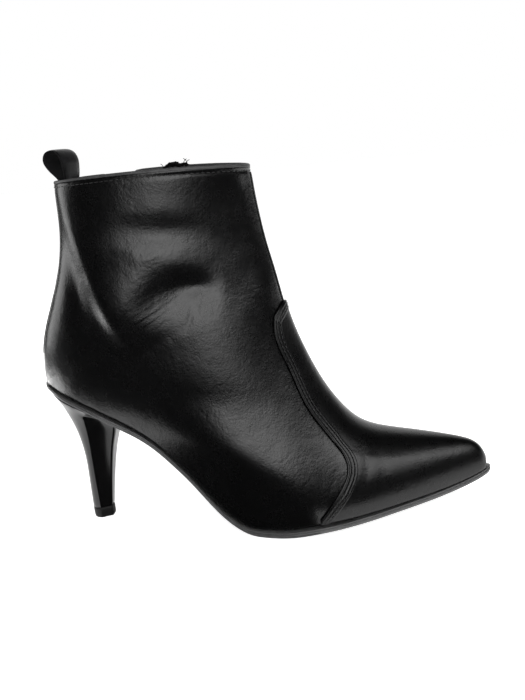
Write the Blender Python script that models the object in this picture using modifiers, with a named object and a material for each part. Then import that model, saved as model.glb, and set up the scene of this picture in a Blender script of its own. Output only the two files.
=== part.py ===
"""Right ankle boot: pointed toe, stiletto heel, side zip on the inner (medial) side.

Lengths are in millimetres and become metres when a mesh is made.
+X is the toe, +Y the inner (medial) side, +Z up, and the floor is z = 0.
"""
import math
from collections import namedtuple

import bmesh
import bpy
import numpy as np
from mathutils import Matrix, Vector

MM = 0.001
OBJECT_NAME = "ankle_boot"

# Driving dimensions
LENGTH = 249.0
MID_X = 2.4
MID_Y = 0.3
WALL = 1.8
GAP = 0.3
SEAT_GAP = 0.5
LATERAL = -1
MEDIAL = 1

# Sole: half widths from a swung centre line, height of the underside, height of the edge
SoleStation = namedtuple("SoleStation", "x lateral medial centre bottom edge")
SOLE = [
    SoleStation(126.9, 0.0, 0.0, 5.0, 17.2, 3.8),
    SoleStation(122.6, 5.4, 5.4, 4.9, 15.7, 3.8),
    SoleStation(112.0, 10.0, 10.0, 4.6, 12.4, 3.8),
    SoleStation(95.0, 17.2, 17.2, 3.8, 9.3, 3.8),
    SoleStation(75.0, 25.0, 24.8, 2.8, 6.8, 3.8),
    SoleStation(55.0, 32.0, 31.6, 1.8, 4.4, 3.8),
    SoleStation(35.0, 36.2, 36.0, 1.0, 2.1, 3.8),
    SoleStation(15.0, 36.8, 35.0, 0.3, 0.0, 3.8),
    SoleStation(-5.0, 33.2, 29.3, 0.0, 0.0, 3.7),
    SoleStation(-22.0, 27.0, 23.0, 0.0, 8.6, 3.6),
    SoleStation(-40.0, 22.0, 18.0, 0.0, 29.2, 3.5),
    SoleStation(-60.0, 21.6, 18.8, 0.0, 51.2, 3.5),
    SoleStation(-82.0, 24.0, 22.8, 0.0, 66.6, 3.3),
    SoleStation(-102.0, 22.4, 22.0, 0.0, 78.2, 2.4),
    SoleStation(-115.0, 13.8, 13.8, 0.0, 83.2, 2.4),
    SoleStation(-122.1, 0.0, 0.0, 0.0, 85.0, 2.4),
]
SOLE_POINTS = 92

# Side of the sole, from the tread up: inset from the outline, share of the edge height
EdgeStep = namedtuple("EdgeStep", "inset share")
SOLE_EDGE = [
    EdgeStep(0.9, 0.0),
    EdgeStep(0.15, 0.16),
    EdgeStep(0.0, 0.6),
    EdgeStep(0.55, 0.66),
    EdgeStep(0.55, 0.74),
    EdgeStep(0.1, 0.8),
    EdgeStep(0.15, 0.96),
    EdgeStep(0.6, 1.0),
]

# Upper: each section is a plane from a low point to a top point.
# Low points run along the sole and then up the back seam, top points along the ridge of the
# toe and instep and then up the front of the shaft. lateral and medial are the largest half
# widths, belly their place from low to top, under and crown the roundness on either side of
# it, ridge the sideways place of the top point.
Section = namedtuple("Section", "low_x low_z top_x top_z lateral medial belly under crown ridge")
ON_SOLE = None
SECTIONS = [
    Section(122.8, ON_SOLE, 123.0, 26.0, 3.3, 3.3, 0.34, 2.0, 2.0, 5.0),
    Section(121.0, ON_SOLE, 121.3, 30.0, 4.9, 4.9, 0.30, 2.0, 2.0, 4.9),
    Section(116.0, ON_SOLE, 116.8, 34.8, 7.3, 7.4, 0.28, 2.0, 2.0, 4.6),
    Section(104.0, ON_SOLE, 106.0, 38.1, 12.4, 12.4, 0.26, 2.0, 2.0, 4.1),
    Section(86.0, ON_SOLE, 89.0, 41.5, 19.6, 19.6, 0.24, 2.0, 2.0, 3.3),
    Section(66.0, ON_SOLE, 71.0, 44.7, 26.9, 26.7, 0.22, 2.0, 1.95, 2.3),
    Section(46.0, ON_SOLE, 57.2, 49.7, 32.8, 32.6, 0.22, 2.0, 1.85, 1.4),
    Section(28.0, ON_SOLE, 46.6, 60.2, 35.4, 34.9, 0.24, 2.0, 1.75, 0.8),
    Section(10.0, ON_SOLE, 36.6, 76.0, 35.3, 33.4, 0.27, 2.0, 1.70, 0.3),
    Section(-8.0, ON_SOLE, 28.9, 93.4, 33.4, 30.6, 0.31, 2.0, 1.70, 0.0),
    Section(-26.0, ON_SOLE, 23.3, 109.0, 31.4, 29.0, 0.34, 2.1, 1.70, 0.0),
    Section(-46.0, ON_SOLE, 19.6, 124.6, 30.0, 28.2, 0.36, 2.2, 1.70, 0.0),
    Section(-68.0, ON_SOLE, 17.1, 138.6, 29.2, 28.2, 0.38, 2.3, 1.75, 0.0),
    Section(-89.0, ON_SOLE, 14.8, 149.5, 28.8, 28.3, 0.40, 2.4, 1.75, 0.0),
    Section(-105.5, ON_SOLE, 13.2, 157.4, 28.6, 28.4, 0.42, 2.5, 1.80, 0.0),
    Section(-115.8, ON_SOLE, 12.2, 163.6, 28.3, 28.2, 0.43, 2.5, 1.80, 0.0),
    Section(-120.8, ON_SOLE, 11.4, 169.0, 28.0, 27.9, 0.44, 2.5, 1.85, 0.0),
    Section(-120.4, 95.0, 10.8, 174.2, 27.7, 27.7, 0.45, 2.5, 1.85, 0.0),
    Section(-117.9, 112.0, 10.2, 179.8, 27.0, 27.0, 0.46, 2.5, 1.90, 0.0),
    Section(-107.3, 137.0, 9.7, 185.6, 26.2, 26.2, 0.47, 2.5, 1.90, 0.0),
    Section(-98.3, 165.0, 9.2, 191.2, 26.2, 26.2, 0.48, 2.5, 1.95, 0.0),
    Section(-96.2, 198.4, 8.8, 196.6, 27.0, 27.0, 0.48, 2.5, 2.00, 0.0),
]
HEEL_SECTION = 16
COLLAR_SECTION = len(SECTIONS) - 1
ROWS_PER_SECTION = 2
HALF_COLUMNS = 16
BELLY_COLUMN_SHARE = 0.4
FEATHER_SHARE = 0.945
FEATHER_LIMIT = 0.97
FEATHER_NOSE_INSET = 1.1
COLLAR_BOW = 2.0
COLLAR_BOW_SECTIONS = 3.0
COUNTER_PASSES = 8
COUNTER_PULL = 0.5
COUNTER_REACH = 1.6
COUNTER_FADE_COLUMNS = 4

# Zip: a straight line down the medial side, and the columns of the upper at its slit
ZIP_TOP_X = -68.8
ZIP_TOP_Z = 198.0
ZIP_LEAN = 0.257
ZIP_LOW_Z = 34.0
SLIT_HALF = 4.6
SLIT_REAR_COLUMN = 4
SLIT_FRONT_COLUMN = 5
SLIT_EASE_SECTIONS = 6.0
SLIT_LEAST_CLIMB = 0.04
TAPE_HALF = 10.5
TAPE_THICK = 0.8
TAPE_CLEAR = 0.6
TAPE_TOP_Z = 196.0
TAPE_LOW_Z = 27.0
TAPE_END_FALL = 0.7
TAPE_ROWS = 20
TAPE_COLUMNS = 4
TEETH_HALF = 2.4
TEETH_THICK = 1.5
TEETH_TOP_Z = 183.0
TEETH_LOW_Z = 41.5
TEETH_END_FALL = -1.1
TEETH_ROWS = 28
TEETH_COLUMNS = 1

# Vamp: the stitched edge in side view, from the sole up to the ridge
SeamPoint = namedtuple("SeamPoint", "x z")
VAMP_SEAM = [
    SeamPoint(30.3, 7.4),
    SeamPoint(37.2, 16.4),
    SeamPoint(44.8, 27.0),
    SeamPoint(48.7, 35.0),
    SeamPoint(47.7, 40.2),
    SeamPoint(40.6, 50.5),
    SeamPoint(29.0, 68.0),
    SeamPoint(20.4, 91.0),
    SeamPoint(14.3, 108.5),
    SeamPoint(14.2, 117.5),
]
VAMP_TOP_X = 19.2
VAMP_TOP_Z = 124.0
VAMP_THICK = 0.9
VAMP_GAP = 0.55
VAMP_CROTCH = 5
VAMP_ROWS = 14
VAMP_SIDE_COLUMNS = 9
VAMP_TONGUE_COLUMNS = 5
VAMP_TONGUE_ROWS = 8
VAMP_FAN_POWER = 0.8
VAMP_FOOT_LIFT = 0.05
VAMP_FOOT_CLEAR = 0.8

# Insole
INSOLE_BACK_X = -115.0
INSOLE_FRONT_X = 110.0
INSOLE_SHARE = 0.80
INSOLE_THICK = 2.0
INSOLE_LIFT = 0.8
INSOLE_POINTS = 84

# Heel: sections from the tip (0) to the seat (1)
HeelSection = namedtuple("HeelSection", "share back ridge_x ridge breast_x breast scoop")
HEEL = [
    HeelSection(0.00, -107.4, -101.2, 5.3, -95.0, 2.4, 0.2),
    HeelSection(0.19, -107.0, -101.2, 5.9, -93.0, 2.9, 0.4),
    HeelSection(0.43, -106.4, -100.6, 7.4, -90.2, 4.0, 0.8),
    HeelSection(0.63, -107.9, -99.6, 9.6, -87.4, 5.3, 1.2),
    HeelSection(0.79, -111.3, -98.8, 13.0, -84.4, 6.8, 1.7),
    HeelSection(0.88, -114.3, -98.4, 16.0, -83.2, 8.6, 2.2),
    HeelSection(0.93, -115.6, -98.4, 18.2, -82.6, 11.5, 2.0),
    HeelSection(0.965, -116.9, -99.2, 20.2, -82.2, 18.0, 0.8),
    HeelSection(1.00, -118.6, -100.6, 21.4, -82.0, 21.4, -0.6),
]
HEEL_RINGS = 13
HEEL_RING_CROWDING = 1.35
HEEL_BACK_POINTS = 7
HEEL_FACET_POINTS = 5
HEEL_BREAST_POINTS = 2
LIFT_HEIGHT = 6.2
LIFT_TAPER = 0.96
LIFT_TAPER_SHARE = 0.2

# Pull loop: centre line in side view and the turn of the strip about the vertical
LoopPoint = namedtuple("LoopPoint", "x z turn_deg")
PULL_LOOP = [
    LoopPoint(-90.2, 184.0, 2.0),
    LoopPoint(-90.4, 192.0, 3.0),
    LoopPoint(-91.0, 197.8, 8.0),
    LoopPoint(-95.2, 204.0, 14.0),
    LoopPoint(-97.0, 208.6, 18.0),
    LoopPoint(-95.7, 212.4, 18.0),
    LoopPoint(-92.2, 213.8, 18.0),
    LoopPoint(-88.8, 212.0, 18.0),
    LoopPoint(-87.1, 207.6, 18.0),
    LoopPoint(-87.2, 202.0, 14.0),
    LoopPoint(-87.8, 196.0, 8.0),
    LoopPoint(-88.0, 190.0, 3.0),
    LoopPoint(-88.1, 184.0, 2.0),
]
LOOP_WIDTH = 15.5
LOOP_THICK = 1.3
LOOP_ROWS = 30
LOOP_COLUMNS = 2

# Slider and pull tab, in the slider's own frame: across, down the zip, outward
SLIDER_Z = 188.5
SLIDER_WIDTH = 8.4
SLIDER_LENGTH = 11.0
SLIDER_THICK = 1.8
SLIDER_LIFT = 0.5
SLIDER_TAPER = 0.72
SLIDER_EDGE = 0.5
BAIL_RADIUS = 2.5
BAIL_WIRE = 0.6
BAIL_SINK = 0.3
PULL_BAR_RADIUS = 0.6
PULL_BAR_LIFT = 1.0
PULL_ARM_OFFSET = 2.1
PULL_ARM_WIDTH = 1.2
PULL_ARM_END = 4.4
PULL_LENGTH = 23.0
PULL_WIDTH = 6.0
PULL_THICK = 1.2
PULL_EDGE = 0.35
PULL_ARM_LAP = 1.0
PULL_ARM_RELIEF = 0.1


class Curve:
    """Smooth curve through a table's points that never swings past them.

    A fair curve instead bends evenly, like a draughtsman's spline.
    """

    def __init__(self, places, values, fair=False):
        pairs = sorted(zip(places, values))
        self.places = [place for place, _ in pairs]
        self.values = [value for _, value in pairs]
        steps = [b - a for a, b in zip(self.places, self.places[1:])]
        rises = [b - a for a, b in zip(self.values, self.values[1:])]
        grades = [rise / step for rise, step in zip(rises, steps)]
        if fair:
            self.slopes = fair_slopes(steps, grades)
            return
        self.slopes = [grades[0]]
        for before, after in zip(grades, grades[1:]):
            same_way = before * after > 0.0
            self.slopes.append(2.0 * before * after / (before + after) if same_way else 0.0)
        self.slopes.append(grades[-1])

    def __call__(self, place):
        place = min(max(place, self.places[0]), self.places[-1])
        k = 0
        while k < len(self.places) - 2 and place > self.places[k + 1]:
            k += 1
        step = self.places[k + 1] - self.places[k]
        t = (place - self.places[k]) / step
        rise = self.values[k + 1] - self.values[k]
        start = self.slopes[k] * step
        end = self.slopes[k + 1] * step
        return self.values[k] + t * start + t * t * (3 * rise - 2 * start - end) \
            + t ** 3 * (start + end - 2 * rise)


def fair_slopes(steps, grades):
    """Slopes that make the bend of a curve continuous, with free ends."""
    count = len(grades) + 1
    balance = np.zeros((count, count))
    pull = np.zeros(count)
    balance[0, :2] = (2.0, 1.0)
    balance[-1, -2:] = (1.0, 2.0)
    pull[0] = 3.0 * grades[0]
    pull[-1] = 3.0 * grades[-1]
    for k in range(1, count - 1):
        before = 1.0 / steps[k - 1]
        after = 1.0 / steps[k]
        balance[k, k - 1:k + 2] = (before, 2.0 * (before + after), after)
        pull[k] = 3.0 * (grades[k - 1] * before + grades[k] * after)
    return list(np.linalg.solve(balance, pull))


def table_curve(table, place, value):
    """Curve of one column of a table against another."""
    return Curve([getattr(row, place) for row in table], [getattr(row, value) for row in table])


def mix(a, b, share):
    return a + (b - a) * share


def ease(share):
    """Soft step from 0 to 1."""
    share = min(max(share, 0.0), 1.0)
    return share * share * (3.0 - 2.0 * share)


def root(function, low, high, steps=44):
    """Place between low and high where a rising function passes zero."""
    for _ in range(steps):
        middle = (low + high) / 2.0
        if function(middle) < 0.0:
            low = middle
        else:
            high = middle
    return (low + high) / 2.0


# Sole shape
def turn_of(x):
    """Angle around the sole, 0 at the toe and pi at the heel; it rounds both ends."""
    return math.acos(min(max((x - MID_X) / (LENGTH / 2.0), -1.0), 1.0))


SOLE_TURNS = [turn_of(row.x) for row in SOLE]
SOLE_HALF = {
    LATERAL: Curve(SOLE_TURNS, [row.lateral for row in SOLE]),
    MEDIAL: Curve(SOLE_TURNS, [row.medial for row in SOLE]),
}
sole_centre = table_curve(SOLE, "x", "centre")
sole_bottom = table_curve(SOLE, "x", "bottom")
sole_edge = table_curve(SOLE, "x", "edge")


def sole_top(x):
    return sole_bottom(x) + sole_edge(x)


def outline_loop(count, front_x, back_x, share):
    """Plan of the sole as a closed loop, fitted between two ends; index 0 is the toe."""
    loop = []
    for k in range(count):
        turn = 2.0 * math.pi * k / count
        side = LATERAL if turn < math.pi else MEDIAL
        folded = turn if turn < math.pi else 2.0 * math.pi - turn
        x = mix(back_x, front_x, (math.cos(folded) + 1.0) / 2.0)
        y = sole_centre(x) + side * share * SOLE_HALF[side](folded)
        loop.append(Vector((x, y)))
    return loop


def inset_loop(loop, inset):
    """Loop moved inwards along its own normals."""
    moved = []
    for k, point in enumerate(loop):
        along = loop[(k + 1) % len(loop)] - loop[k - 1]
        normal = Vector((-along.y, along.x)).normalized()
        inward = normal if normal.dot(Vector((0.0, sole_centre(point.x))) - point) > 0.0 else -normal
        if abs(inward.x) > abs(inward.y):
            inward = normal if normal.x * (MID_X - point.x) > 0.0 else -normal
        moved.append(point + inward * inset)
    return moved


# Upper shape
SECTION_NUMBERS = list(range(len(SECTIONS)))


def low_height(row):
    return sole_top(row.low_x) + SEAT_GAP if row.low_z is ON_SOLE else row.low_z


def section_curve(column):
    return Curve(SECTION_NUMBERS, [getattr(row, column) for row in SECTIONS], fair=True)


SECTION_CURVES = {column: section_curve(column) for column in Section._fields if column != "low_z"}
LOW_HEIGHTS = Curve(SECTION_NUMBERS, [low_height(row) for row in SECTIONS], fair=True)
FEATHER_BACK_X = SECTIONS[HEEL_SECTION].low_x
FEATHER_FRONT_X = SECTIONS[0].low_x


def low_point(u):
    """Low end of a section as x and z."""
    x = SECTION_CURVES["low_x"](u)
    return Vector((x, sole_top(x) + SEAT_GAP if u < HEEL_SECTION else LOW_HEIGHTS(u)))


def top_point(u):
    """Top end of a section as x and z."""
    return Vector((SECTION_CURVES["top_x"](u), SECTION_CURVES["top_z"](u)))


def feather_half(u, side):
    """Half width of the upper where it meets the sole; none behind the heel."""
    if u >= HEEL_SECTION:
        return 0.0
    share = (low_point(u).x - FEATHER_BACK_X) / (FEATHER_FRONT_X - FEATHER_BACK_X)
    back = MID_X - LENGTH / 2.0
    front = MID_X + LENGTH / 2.0 - FEATHER_NOSE_INSET
    return FEATHER_SHARE * SOLE_HALF[side](turn_of(mix(back, front, share)))


def half_section(u, climb, side):
    """Half width and height share of a section at climb, 0 at the low end and 1 at the top."""
    widest = SECTION_CURVES["lateral" if side == LATERAL else "medial"](u)
    belly = SECTION_CURVES["belly"](u)
    if climb < BELLY_COLUMN_SHARE:
        power = SECTION_CURVES["under"](u)
        foot = min(feather_half(u, side) / widest, FEATHER_LIMIT)
        start = math.asin(foot ** (power / 2.0))
        angle = mix(start, math.pi / 2.0, climb / BELLY_COLUMN_SHARE)
        fall = (max(math.cos(angle), 0.0) / math.cos(start)) ** (2.0 / power)
        return widest * math.sin(angle) ** (2.0 / power), belly * (1.0 - fall)
    power = SECTION_CURVES["crown"](u)
    angle = math.pi / 2.0 * (climb - BELLY_COLUMN_SHARE) / (1.0 - BELLY_COLUMN_SHARE)
    width = widest * max(math.cos(angle), 0.0) ** (2.0 / power)
    return width, belly + (1.0 - belly) * math.sin(angle) ** (2.0 / power)


def skin(u, across):
    """Point of the upper's outer face; across is -1 lateral, 0 the ridge, 1 medial."""
    side = LATERAL if across < 0.0 else MEDIAL
    width, height = half_section(u, 1.0 - abs(across), side)
    low = low_point(u)
    place = low + (top_point(u) - low) * height
    middle = mix(sole_centre(low.x), SECTION_CURVES["ridge"](u), ease(height))
    bow = COLLAR_BOW * ease(1.0 - (COLLAR_SECTION - u) / COLLAR_BOW_SECTIONS)
    return Vector((place.x, middle + side * width, place.y + bow * math.sin(math.pi * height)))


def skin_normal(u, across):
    """Outward direction of the upper's outer face."""
    du = 0.03
    dc = 0.006
    u0 = max(u - du, 0.0)
    u1 = min(u + du, COLLAR_SECTION)
    c0 = max(across - dc, -1.0)
    c1 = min(across + dc, 1.0)
    along = skin(u1, across) - skin(u0, across)
    around = skin(u, c1) - skin(u, c0)
    return around.cross(along).normalized()


def locate(x, z, side):
    """Section number and place across of a side-view point."""
    point = Vector((x, z))

    def ahead(u):
        low = low_point(u)
        line = top_point(u) - low
        reach = point - low
        return reach.x * line.y - reach.y * line.x

    u = root(ahead, 0.0, COLLAR_SECTION)
    low = low_point(u)
    line = top_point(u) - low
    height = (point - low).dot(line) / line.length_squared
    climb = root(lambda c: half_section(u, c, side)[1] - height, 0.0, 1.0)
    return u, side * (1.0 - climb)


# Zip line
def zip_x(z):
    return ZIP_TOP_X + (ZIP_TOP_Z - z) * ZIP_LEAN


def slit_climb(u, offset):
    """Climb at which a section crosses a line beside the zip, or None."""
    def past(climb):
        point = skin(u, 1.0 - climb)
        return point.x - zip_x(point.z) - offset

    if past(0.0) >= 0.0:
        return None
    return root(past, 0.0, 1.0)


# Mesh makers
def metres(point):
    """World place of a point, with the origin under the middle of the boot."""
    return (point - Vector((MID_X, MID_Y, 0.0))) * MM


def material(name, colour, roughness, metallic=0.0):
    made = bpy.data.materials.new(name)
    made.use_nodes = True
    shader = made.node_tree.nodes["Principled BSDF"]
    shader.inputs["Base Color"].default_value = (*colour, 1.0)
    shader.inputs["Roughness"].default_value = roughness
    shader.inputs["Metallic"].default_value = metallic
    return made


def add_object(name, bm, finish, collection):
    """Object from a bmesh whose lengths are already metres."""
    mesh = bpy.data.meshes.new(name)
    bm.to_mesh(mesh)
    bm.free()
    mesh.shade_smooth()
    mesh.set_sharp_from_angle(angle=math.radians(40.0))
    made = bpy.data.objects.new(name, mesh)
    made.data.materials.append(finish)
    collection.objects.link(made)
    return made


def add_grid(bm, rows, skip=None):
    """Faces between rows of points; skip leaves out the cells it names."""
    verts = [[bm.verts.new(metres(point)) for point in row] for row in rows]
    for i in range(len(rows) - 1):
        for j in range(len(rows[i]) - 1):
            if skip and skip(i, j):
                continue
            bm.faces.new((verts[i][j], verts[i + 1][j], verts[i + 1][j + 1], verts[i][j + 1]))
    return verts


def drop_loose(bm):
    """Remove points that carry no face."""
    loose = [vert for vert in bm.verts if not vert.link_faces]
    bmesh.ops.delete(bm, geom=loose, context="VERTS")


def thicken(made, thickness, offset):
    shell = made.modifiers.new("wall", "SOLIDIFY")
    shell.thickness = thickness * MM
    shell.offset = offset
    return shell


def add_rings(bm, rings, folded_ends):
    """Closed loft; each end is one flat face, or strips across where its loop is folded."""
    verts = [[bm.verts.new(metres(point)) for point in ring] for ring in rings]
    count = len(rings[0])
    for lower, upper in zip(verts, verts[1:]):
        for k in range(count):
            after = (k + 1) % count
            bm.faces.new((lower[k], lower[after], upper[after], upper[k]))
    for ring, folded in zip((verts[0], verts[-1]), folded_ends):
        if not folded:
            bm.faces.new(ring)
            continue
        for k in range(count // 2):
            corners = [ring[k], ring[k + 1], ring[(count - k - 1) % count], ring[(count - k) % count]]
            bm.faces.new(list(dict.fromkeys(corners)))
    bmesh.ops.recalc_face_normals(bm, faces=bm.faces)


# Pieces
def upper_columns(u, slit):
    """Places across one row, lateral to medial; two medial columns follow the slit."""
    lateral = [-1.0 + k / HALF_COLUMNS for k in range(HALF_COLUMNS)]
    rear, front = slit
    medial = []
    for k in range(HALF_COLUMNS + 1):
        if k <= SLIT_REAR_COLUMN:
            climb = mix(0.0, rear, k / SLIT_REAR_COLUMN)
        else:
            share = (k - SLIT_FRONT_COLUMN) / (HALF_COLUMNS - SLIT_FRONT_COLUMN)
            climb = mix(front, 1.0, share)
        medial.append(1.0 - climb)
    return lateral + medial[::-1]


def slit_rows(row_places):
    """Climb of the slit's two edges in every row, eased to even columns ahead of the zip."""
    even = (SLIT_REAR_COLUMN / HALF_COLUMNS, SLIT_FRONT_COLUMN / HALF_COLUMNS)
    edges = []
    for u in row_places:
        edges.append((slit_climb(u, -SLIT_HALF), slit_climb(u, SLIT_HALF)))
    crossed = [k for k, (rear, front) in enumerate(edges) if rear and front and rear > SLIT_LEAST_CLIMB]
    first = crossed[0]
    for k in range(first):
        share = ease((row_places[first] - row_places[k]) / SLIT_EASE_SECTIONS)
        edges[k] = tuple(mix(edges[first][side], even[side], share) for side in (0, 1))
    return edges


def soften_counter(rows, row_places, kept_columns):
    """Round the turn of the counter where the rows leave the sole for the back seam."""
    for _ in range(COUNTER_PASSES):
        before = [list(row) for row in rows]
        for i in range(1, len(rows) - 1):
            reach = (row_places[i] - HEEL_SECTION) / COUNTER_REACH
            pull = COUNTER_PULL * math.exp(-reach * reach)
            for j in range(1, len(rows[i]) - 1):
                if j not in kept_columns:
                    fade = ease(min(j, len(rows[i]) - 1 - j) / COUNTER_FADE_COLUMNS)
                    middle = (before[i - 1][j] + before[i + 1][j]) / 2.0
                    rows[i][j] = before[i][j].lerp(middle, pull * fade)


def build_upper(collection, finish):
    count = COLLAR_SECTION * ROWS_PER_SECTION
    row_places = [k / ROWS_PER_SECTION for k in range(count + 1)]
    edges = slit_rows(row_places)
    rows = []
    for u, slit in zip(row_places, edges):
        rows.append([skin(u, across) for across in upper_columns(u, slit)])
    slit_cell = 2 * HALF_COLUMNS - SLIT_FRONT_COLUMN
    soften_counter(rows, row_places, (slit_cell, slit_cell + 1))
    bm = bmesh.new()

    def in_slit(i, j):
        return j == slit_cell and rows[i][j + 1].z > ZIP_LOW_Z and row_places[i] > HEEL_SECTION / 2

    verts = add_grid(bm, rows, in_slit)
    bm.faces.new(verts[0])
    bmesh.ops.remove_doubles(bm, verts=bm.verts, dist=0.01 * MM)
    drop_loose(bm)
    bmesh.ops.recalc_face_normals(bm, faces=bm.faces)
    upper = add_object("upper", bm, finish, collection)
    thicken(upper, WALL, -1.0)
    return upper


def vamp_edge(side, first, last, count):
    """Stitched edge between two of its points, as section numbers and places across."""
    seam = VAMP_SEAM[first:last + 1]
    lengths = [0.0]
    for a, b in zip(seam, seam[1:]):
        lengths.append(lengths[-1] + math.hypot(b.x - a.x, b.z - a.z))
    edge_x = Curve(lengths, [row.x for row in seam])
    edge_z = Curve(lengths, [row.z for row in seam])
    places = [lengths[-1] * k / count for k in range(count + 1)]
    return [locate(edge_x(place), edge_z(place), side) for place in places]


def vamp_point(u, across):
    """Outer face of the vamp, over the upper's skin and clear of the sole."""
    foot = 1.0 - VAMP_FOOT_LIFT
    across = min(max(across, -foot), foot)
    point = skin(u, across) + skin_normal(u, across) * (VAMP_GAP + VAMP_THICK)
    point.z = max(point.z, sole_top(point.x) + VAMP_FOOT_CLEAR)
    return point


def build_vamp(collection, finish):
    last_point = len(VAMP_SEAM) - 1
    sides = {side: vamp_edge(side, 0, VAMP_CROTCH, VAMP_SIDE_COLUMNS) for side in (LATERAL, MEDIAL)}
    tongue = {side: vamp_edge(side, VAMP_CROTCH, last_point, VAMP_TONGUE_ROWS)
              for side in (LATERAL, MEDIAL)}
    top_u, _ = locate(VAMP_TOP_X, VAMP_TOP_Z, LATERAL)
    spread = range(VAMP_TONGUE_COLUMNS - 1, 0, -1)
    tongue_shares = [(LATERAL, k / VAMP_TONGUE_COLUMNS) for k in spread] + [(LATERAL, 0.0)] \
        + [(MEDIAL, k / VAMP_TONGUE_COLUMNS) for k in reversed(spread)]

    def tongue_row(step):
        row = []
        for side, share in [(LATERAL, 1.0)] + tongue_shares + [(MEDIAL, 1.0)]:
            edge_u, edge_across = tongue[side][step]
            lift = (top_u - tongue[side][-1][0]) * (1.0 - share * share) * step / VAMP_TONGUE_ROWS
            row.append((edge_u + lift, edge_across * share))
        return row

    ends = sides[LATERAL][:-1] + tongue_row(0) + sides[MEDIAL][-2::-1]
    rows = []
    for i in range(VAMP_ROWS + 1):
        share = i / VAMP_ROWS
        row = []
        for k, (end_u, end_across) in enumerate(ends):
            even = mix(-1.0, 1.0, k / (len(ends) - 1))
            row.append(vamp_point(end_u * share, mix(even, end_across, ease(share) ** VAMP_FAN_POWER)))
        rows.append(row)
    tongue_rows = []
    for step in range(VAMP_TONGUE_ROWS + 1):
        tongue_rows.append([vamp_point(u, across) for u, across in tongue_row(step)])
    bm = bmesh.new()
    verts = add_grid(bm, rows)
    bm.faces.new(verts[0])
    add_grid(bm, tongue_rows)
    bmesh.ops.remove_doubles(bm, verts=bm.verts, dist=0.001 * MM)
    bmesh.ops.recalc_face_normals(bm, faces=bm.faces)
    vamp = add_object("vamp", bm, finish, collection)
    thicken(vamp, VAMP_THICK, -1.0)
    return vamp


def build_outsole(collection, finish):
    outline = outline_loop(SOLE_POINTS, MID_X + LENGTH / 2.0, MID_X - LENGTH / 2.0, 1.0)
    rings = []
    for step in SOLE_EDGE:
        ring = []
        for x, y in inset_loop(outline, step.inset):
            ring.append(Vector((x, y, sole_bottom(x) + sole_edge(x) * step.share)))
        rings.append(ring)
    bm = bmesh.new()
    add_rings(bm, rings, (True, True))
    return add_object("outsole", bm, finish, collection)


def build_insole(collection, finish):
    outline = outline_loop(INSOLE_POINTS, INSOLE_FRONT_X, INSOLE_BACK_X, INSOLE_SHARE)
    rings = []
    for lift in (INSOLE_LIFT, INSOLE_LIFT + INSOLE_THICK):
        rings.append([Vector((x, y, sole_top(x) + lift)) for x, y in outline])
    bm = bmesh.new()
    add_rings(bm, rings, (True, True))
    return add_object("insole", bm, finish, collection)


HEEL_CURVES = {column: table_curve(HEEL, "share", column) for column in HeelSection._fields[1:]}


def heel_loop(share):
    """Plan of the heel at a share of its height; index 0 is the back."""
    size = {column: curve(share) for column, curve in HEEL_CURVES.items()}
    half = []
    for k in range(HEEL_BACK_POINTS):
        angle = math.pi / 2.0 * k / HEEL_BACK_POINTS
        x = size["ridge_x"] - (size["ridge_x"] - size["back"]) * math.cos(angle)
        half.append((x, size["ridge"] * math.sin(angle)))
    for k in range(HEEL_FACET_POINTS):
        part = k / HEEL_FACET_POINTS
        y = mix(size["ridge"], size["breast"], part) - size["scoop"] * math.sin(math.pi * part)
        half.append((mix(size["ridge_x"], size["breast_x"], part), y))
    for k in range(HEEL_BREAST_POINTS):
        half.append((size["breast_x"], size["breast"] * (1.0 - k / HEEL_BREAST_POINTS)))
    front = [(size["breast_x"], 0.0)]
    return [(x, -y) for x, y in half] + front + half[:0:-1]


def build_heel(collection, finish):
    tip = LIFT_HEIGHT + GAP
    rings = []
    for k in range(HEEL_RINGS):
        share = 1.0 - (1.0 - k / (HEEL_RINGS - 1)) ** HEEL_RING_CROWDING
        ring = []
        for x, y in heel_loop(share):
            ring.append(Vector((x, y, mix(tip, sole_bottom(x) - GAP, share))))
        rings.append(ring)
    bm = bmesh.new()
    add_rings(bm, rings, (False, True))
    return add_object("heel", bm, finish, collection)


def build_top_lift(collection, finish):
    plan = heel_loop(0.0)
    middle = (HEEL[0].back + HEEL[0].breast_x) / 2.0
    rings = []
    for height, scale in ((0.0, LIFT_TAPER), (LIFT_HEIGHT * LIFT_TAPER_SHARE, 1.0), (LIFT_HEIGHT, 1.0)):
        rings.append([Vector((mix(middle, x, scale), y * scale, height)) for x, y in plan])
    bm = bmesh.new()
    add_rings(bm, rings, (False, False))
    return add_object("top_lift", bm, finish, collection)


def build_pull_loop(collection, finish):
    lengths = [0.0]
    for a, b in zip(PULL_LOOP, PULL_LOOP[1:]):
        lengths.append(lengths[-1] + math.hypot(b.x - a.x, b.z - a.z))
    path = {field: Curve(lengths, [getattr(row, field) for row in PULL_LOOP])
            for field in LoopPoint._fields}
    rows = []
    for k in range(LOOP_ROWS + 1):
        place = lengths[-1] * k / LOOP_ROWS
        turn = math.radians(path["turn_deg"](place))
        width = Vector((math.sin(turn), math.cos(turn), 0.0)) * LOOP_WIDTH
        centre = Vector((path["x"](place), 0.0, path["z"](place)))
        rows.append([centre + width * (j / LOOP_COLUMNS - 0.5) for j in range(LOOP_COLUMNS + 1)])
    bm = bmesh.new()
    add_grid(bm, rows)
    bmesh.ops.recalc_face_normals(bm, faces=bm.faces)
    loop = add_object("pull_loop", bm, finish, collection)
    thicken(loop, LOOP_THICK, 0.0)
    return loop


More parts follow.
